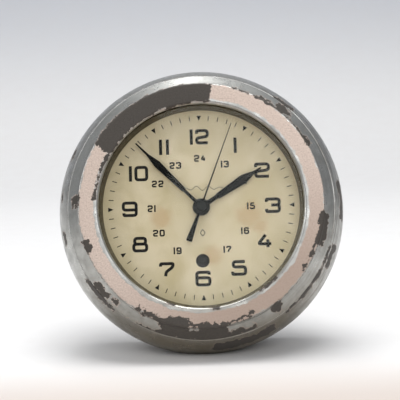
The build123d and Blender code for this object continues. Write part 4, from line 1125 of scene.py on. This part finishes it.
# dial print: numerals from plain strokes
# each digit is drawn on a box one unit wide and high, centred on 0
digitStrokes = {
    "0": [((-0.5, 0.5), (0.5, 0.5), (0.5, -0.5), (-0.5, -0.5), "closed")],
    "1": [((0, 0.5), (0, -0.5))],
    "2": [
        ((-0.5, 0.26), (-0.5, 0.5), (0.5, 0.5), (0.5, 0.02), (-0.5, -0.1), (-0.5, -0.5), (0.52, -0.5))
    ],
    "3": [
        ((-0.5, 0.28), (-0.5, 0.5), (0.5, 0.5), (0.5, 0.02), (-0.12, 0.02)),
        ((0.1, 0.02), (0.5, 0.02), (0.5, -0.5), (-0.5, -0.5), (-0.5, -0.28)),
    ],
    "4": [((0.1, 0.5), (-0.48, -0.22), (0.52, -0.22)), ((0.26, 0.12), (0.26, -0.5))],
    "5": [
        ((0.46, 0.5), (-0.44, 0.5), (-0.44, 0.08), (0.5, 0.08), (0.5, -0.5), (-0.5, -0.5), (-0.5, -0.28))
    ],
    "6": [
        ((0.46, 0.3), (0.46, 0.5), (-0.5, 0.5), (-0.5, -0.5), (0.5, -0.5), (0.5, 0.06), (-0.5, 0.06))
    ],
    "7": [((-0.5, 0.28), (-0.5, 0.5), (0.5, 0.5), (0.42, 0.2), (-0.08, -0.16), (-0.12, -0.5))],
    "8": [
        ((-0.42, 0.5), (0.42, 0.5), (0.42, 0.04), (-0.42, 0.04), "closed"),
        ((-0.5, 0.04), (0.5, 0.04), (0.5, -0.5), (-0.5, -0.5), "closed"),
    ],
    "9": [
        ((-0.46, -0.3), (-0.46, -0.5), (0.5, -0.5), (0.5, 0.5), (-0.5, 0.5), (-0.5, -0.06), (0.5, -0.06))
    ],
}
numeralRings = {
    "hour_numerals": {
        "labels": {hour: str(hour) for hour in range(1, 13)},
        "radius": 44.5,
        "digit": (9.9, 9.7),
        "narrow": 8.6,
        "stroke": 1.9,
        "gap": 1.5,
        "corner": 1.7,
    },
    "day_numerals": {
        "labels": {hour: str(hour + 12) for hour in range(1, 13) if hour != 6},
        "radius": 30.9,
        "digit": (3.5, 4.3),
        "narrow": 3.3,
        "stroke": 0.98,
        "gap": 0.75,
        "corner": 0.65,
    },
}


cornerSteps = 5


def roundCorners(points, corner, closed):
    # short curves in place of a polyline's corners
    made = []
    count = len(points)
    for index, point in enumerate(points):
        if not closed and index in (0, count - 1):
            made.append(Vector(point))
            continue
        here = Vector(point)
        before = Vector(points[index - 1]) - here
        after = Vector(points[(index + 1) % count]) - here
        cut = min(corner, before.length * 0.49, after.length * 0.49)
        start = here + before.normalized() * cut
        end = here + after.normalized() * cut
        for step in range(cornerSteps + 1):
            share = step / cornerSteps
            made.append(start * (1 - share) ** 2 + here * 2 * share * (1 - share) + end * share**2)
    return made


def strokeStrip(bm, points, half, closed, low, high):
    # flat band of even width along a path, with a thin edge down to the paint
    count = len(points)
    sides = []
    for index, here in enumerate(points):
        before = points[index - 1] if closed or index else None
        after = points[(index + 1) % count] if closed or index < count - 1 else None
        ahead = (after - here).normalized() if after is not None else (here - before).normalized()
        behind = (here - before).normalized() if before is not None else ahead
        along = (ahead + behind).normalized()
        across = Vector((-along.y, along.x))
        reach = half / max(0.4, across.dot(Vector((-ahead.y, ahead.x))))
        left = here + across * reach
        right = here + across * reach * -1
        sides.append(((left, low), (left, high), (right, high), (right, low)))
    rings = [[bm.verts.new((p.x, p.y, z)) for p, z in side] for side in sides]
    for index in range(count if closed else count - 1):
        here = rings[index]
        there = rings[(index + 1) % count]
        for k in range(4):
            following = (k + 1) % 4
            bm.faces.new((here[k], here[following], there[following], there[k]))
    if not closed:
        bm.faces.new(rings[0])
        bm.faces.new(rings[-1])


def drawDigit(bm, digit, middle, size, stroke, corner, low, high):
    wide = size[0] - stroke
    tall = size[1] - stroke
    for path in digitStrokes[digit]:
        closed = path[-1] == "closed"
        spots = path[:-1] if closed else path
        corners = [(middle[0] + x * wide, middle[1] + y * tall) for x, y in spots]
        if digit == "1":  # the bar reaches the full height
            corners = [(x, middle[1] + (y - middle[1]) * size[1] / tall) for x, y in corners]
        strokeStrip(bm, roundCorners(corners, corner, closed), stroke / 2, closed, low, high)


def numeralMesh(name, spec):
    bm = bmesh.new()
    low = dialFace - printLift
    high = dialFace + printLift
    for hour, label in spec["labels"].items():
        turn = math.radians(hour * 30)
        centre = (spec["radius"] * math.sin(turn), spec["radius"] * math.cos(turn))
        widths = []
        for digit in label:
            wide = spec["narrow"] if len(label) > 1 else spec["digit"][0]
            widths.append(spec["stroke"] if digit == "1" else wide)
        gap = spec["gap"] * (1.6 if label == "11" else 1.0)
        total = sum(widths) + gap * (len(label) - 1)
        left = centre[0] - total / 2
        for digit, wide in zip(label, widths):
            middle = (left + wide / 2, centre[1])
            size = (spec["digit"][0] if digit == "1" else wide, spec["digit"][1])
            drawDigit(bm, digit, middle, size, spec["stroke"], spec["corner"], low, high)
            left += wide + gap
    bmesh.ops.recalc_face_normals(bm, faces=bm.faces)
    return meshFrom(bm, name)


for ringName, ringSpec in numeralRings.items():
    placeMesh(numeralMesh(ringName, ringSpec), "dial_" + ringName, "printInk", "case")

# a plain flourish above the centre and a small diamond below it
flourish = {
    "middle": (1.0, 12.0),
    "half": 13.0,
    "rise": 1.5,
    "waves": 3.5,
    "stroke": 0.32,
    "steps": 72,
}
diamond = {"middle": (0.4, -16.0), "half": 1.5, "tall": 1.4, "stroke": 0.45, "corner": 0.2}


def ornamentMesh():
    bm = bmesh.new()
    low = dialFace - printLift
    high = dialFace + printLift
    points = []
    for step in range(flourish["steps"] + 1):
        share = step / flourish["steps"]
        swell = math.sin(math.pi * share)
        wave = math.sin(2 * math.pi * flourish["waves"] * share)
        x = flourish["middle"][0] + flourish["half"] * (2 * share - 1)
        points.append(Vector((x, flourish["middle"][1] + flourish["rise"] * swell * wave)))
    strokeStrip(bm, points, flourish["stroke"] / 2, False, low, high)
    across, up = diamond["middle"]
    half = diamond["half"]
    tall = half * diamond["tall"]
    corners = [(across, up + tall), (across + half, up), (across, up - tall), (across - half, up)]
    path = roundCorners(corners, diamond["corner"], True)
    strokeStrip(bm, path, diamond["stroke"] / 2, True, low, high)
    bmesh.ops.recalc_face_normals(bm, faces=bm.faces)
    return meshFrom(bm, "ornament")


placeMesh(ornamentMesh(), "dial_ornament", "printInk", "case")
print("dial printed")

# floor, light and camera
studio = {
    "floorFront": -9.0,
    "floorBack": 0.75,
    "bendRadius": 0.8,
    "bendSteps": 16,
    "wallHeight": 2.4,
    "halfWidth": 9.0,
    # painted shade on the floor near the camera and up the wall
    "floorNearShadeAndGrain": rgb(208, 197, 189),
    "floorColour": rgb(236, 235, 234),
    "wallShade": rgb(200, 202, 207),
    "world": (0.86, 0.89, 0.93, 1),
    "worldStrength": 0.5,
}


def floorMaterial():
    material, tree, shader = newMaterial("paperFloor")
    here = addNode(tree, "ShaderNodeTexCoord")
    grain = noise(tree, here.outputs["Object"], 60.0, 3.0)
    parts = addNode(tree, "ShaderNodeSeparateXYZ")
    feed(tree, parts.inputs[0], here.outputs["Object"])
    # painted shade: the floor darkens and warms towards the camera and turns darker and cooler up the
    # wall; the grain flecks take the near colour
    back = remap(tree, parts.outputs[1], -0.16, -0.02, smooth=True)
    tone = blendColour(tree, back, studio["floorNearShadeAndGrain"], studio["floorColour"])
    height = remap(tree, parts.outputs[2], 0.03, 0.24, smooth=True)
    tone = blendColour(tree, height, tone, studio["wallShade"])
    tone = blendColour(tree, remap(tree, grain, 0.3, 0.7, 0.0, 0.06), tone, studio["floorNearShadeAndGrain"])
    feed(tree, shader.inputs["Base Color"], tone)
    shader.inputs["Roughness"].default_value = 0.85
    return material


def makeFloor():
    bm = bmesh.new()
    back = studio["floorBack"]
    bend = studio["bendRadius"]
    wide = studio["halfWidth"]
    path = [(studio["floorFront"], 0.0), (back, 0.0)]
    for step in range(1, studio["bendSteps"] + 1):
        turn = math.pi / 2 * step / studio["bendSteps"]
        path.append((back + bend * math.sin(turn), bend * (1 - math.cos(turn))))
    path.append((back + bend, studio["wallHeight"]))
    rows = [[bm.verts.new((x, y, z)) for x in (-wide, wide)] for y, z in path]
    for here, there in zip(rows, rows[1:]):
        bm.faces.new((here[0], here[1], there[1], there[0]))
    mesh = meshFrom(bm, "floor")
    mesh.shade_smooth()
    floor = addObject("studio_floor", mesh)
    mesh.materials.append(floorMaterial())


makeFloor()

lamps = {
    "overhead": {
        "place": (0.05, 0.05, 1.3),
        "aim": (0.0, 0.0, 0.0),
        "size": (1.1, 0.7),
        "power": 15.0,
    },
    "leftWindow": {
        "place": (-1.3, -0.7, 0.9),
        "aim": (0, 0, 0.08),
        "size": (0.9, 0.9),
        "power": 6.0,
    },
    "frontFill": {
        "place": (0.5, -1.9, 1.2),
        "aim": (0, 0, 0.08),
        "size": (1.2, 1.0),
        "power": 9.0,
    },
}
for lampName, lampSpec in lamps.items():
    lamp = bpy.data.lights.new(lampName, "AREA")
    lamp.shape = "RECTANGLE"
    lamp.size, lamp.size_y = lampSpec["size"]
    lamp.energy = lampSpec["power"]
    lampHolder = addObject(lampName, lamp)
    lampHolder.location = lampSpec["place"]
    lampDirection = Vector(lampSpec["aim"]) - Vector(lampSpec["place"])
    lampHolder.rotation_euler = lampDirection.to_track_quat("-Z", "Y").to_euler()

world = bpy.data.worlds.new("studioWorld")
bpy.context.scene.world = world
world.use_nodes = True
world.node_tree.nodes["Background"].inputs["Color"].default_value = studio["world"]
world.node_tree.nodes["Background"].inputs["Strength"].default_value = studio["worldStrength"]

view = {
    "distance": 0.999,  # from the middle of the bezel's face
    "height": 8.0,  # degrees above the horizon
    "lens": 146.4,
    "sensor": 36.0,
    "turnLeft": 0.038745,  # degrees the camera looks to the left of the face's middle
    "tiltUp": 0.158503,  # degrees it looks above the face's middle
    "roll": -1.65,
}
camera = bpy.data.cameras.new("camera")
camera.lens = view["lens"]
camera.sensor_width = view["sensor"]
camera.clip_start = 0.01
camera.clip_end = 20.0
cameraHolder = addObject("camera", camera)
rise = math.radians(view["height"])
towards = Vector((0, -math.cos(rise), math.sin(rise)))
cameraHolder.location = axisPoint + towards * view["distance"]
aim = (-towards).to_track_quat("-Z", "Y").to_matrix()
nudge = Euler((math.radians(view["tiltUp"]), math.radians(view["turnLeft"]), 0)).to_matrix()
roll = Matrix.Rotation(math.radians(view["roll"]), 3, "Z")
cameraHolder.rotation_euler = (aim @ nudge @ roll).to_euler()
bpy.context.scene.camera = cameraHolder
bpy.context.scene.view_settings.view_transform = "Standard"
print("studio set")
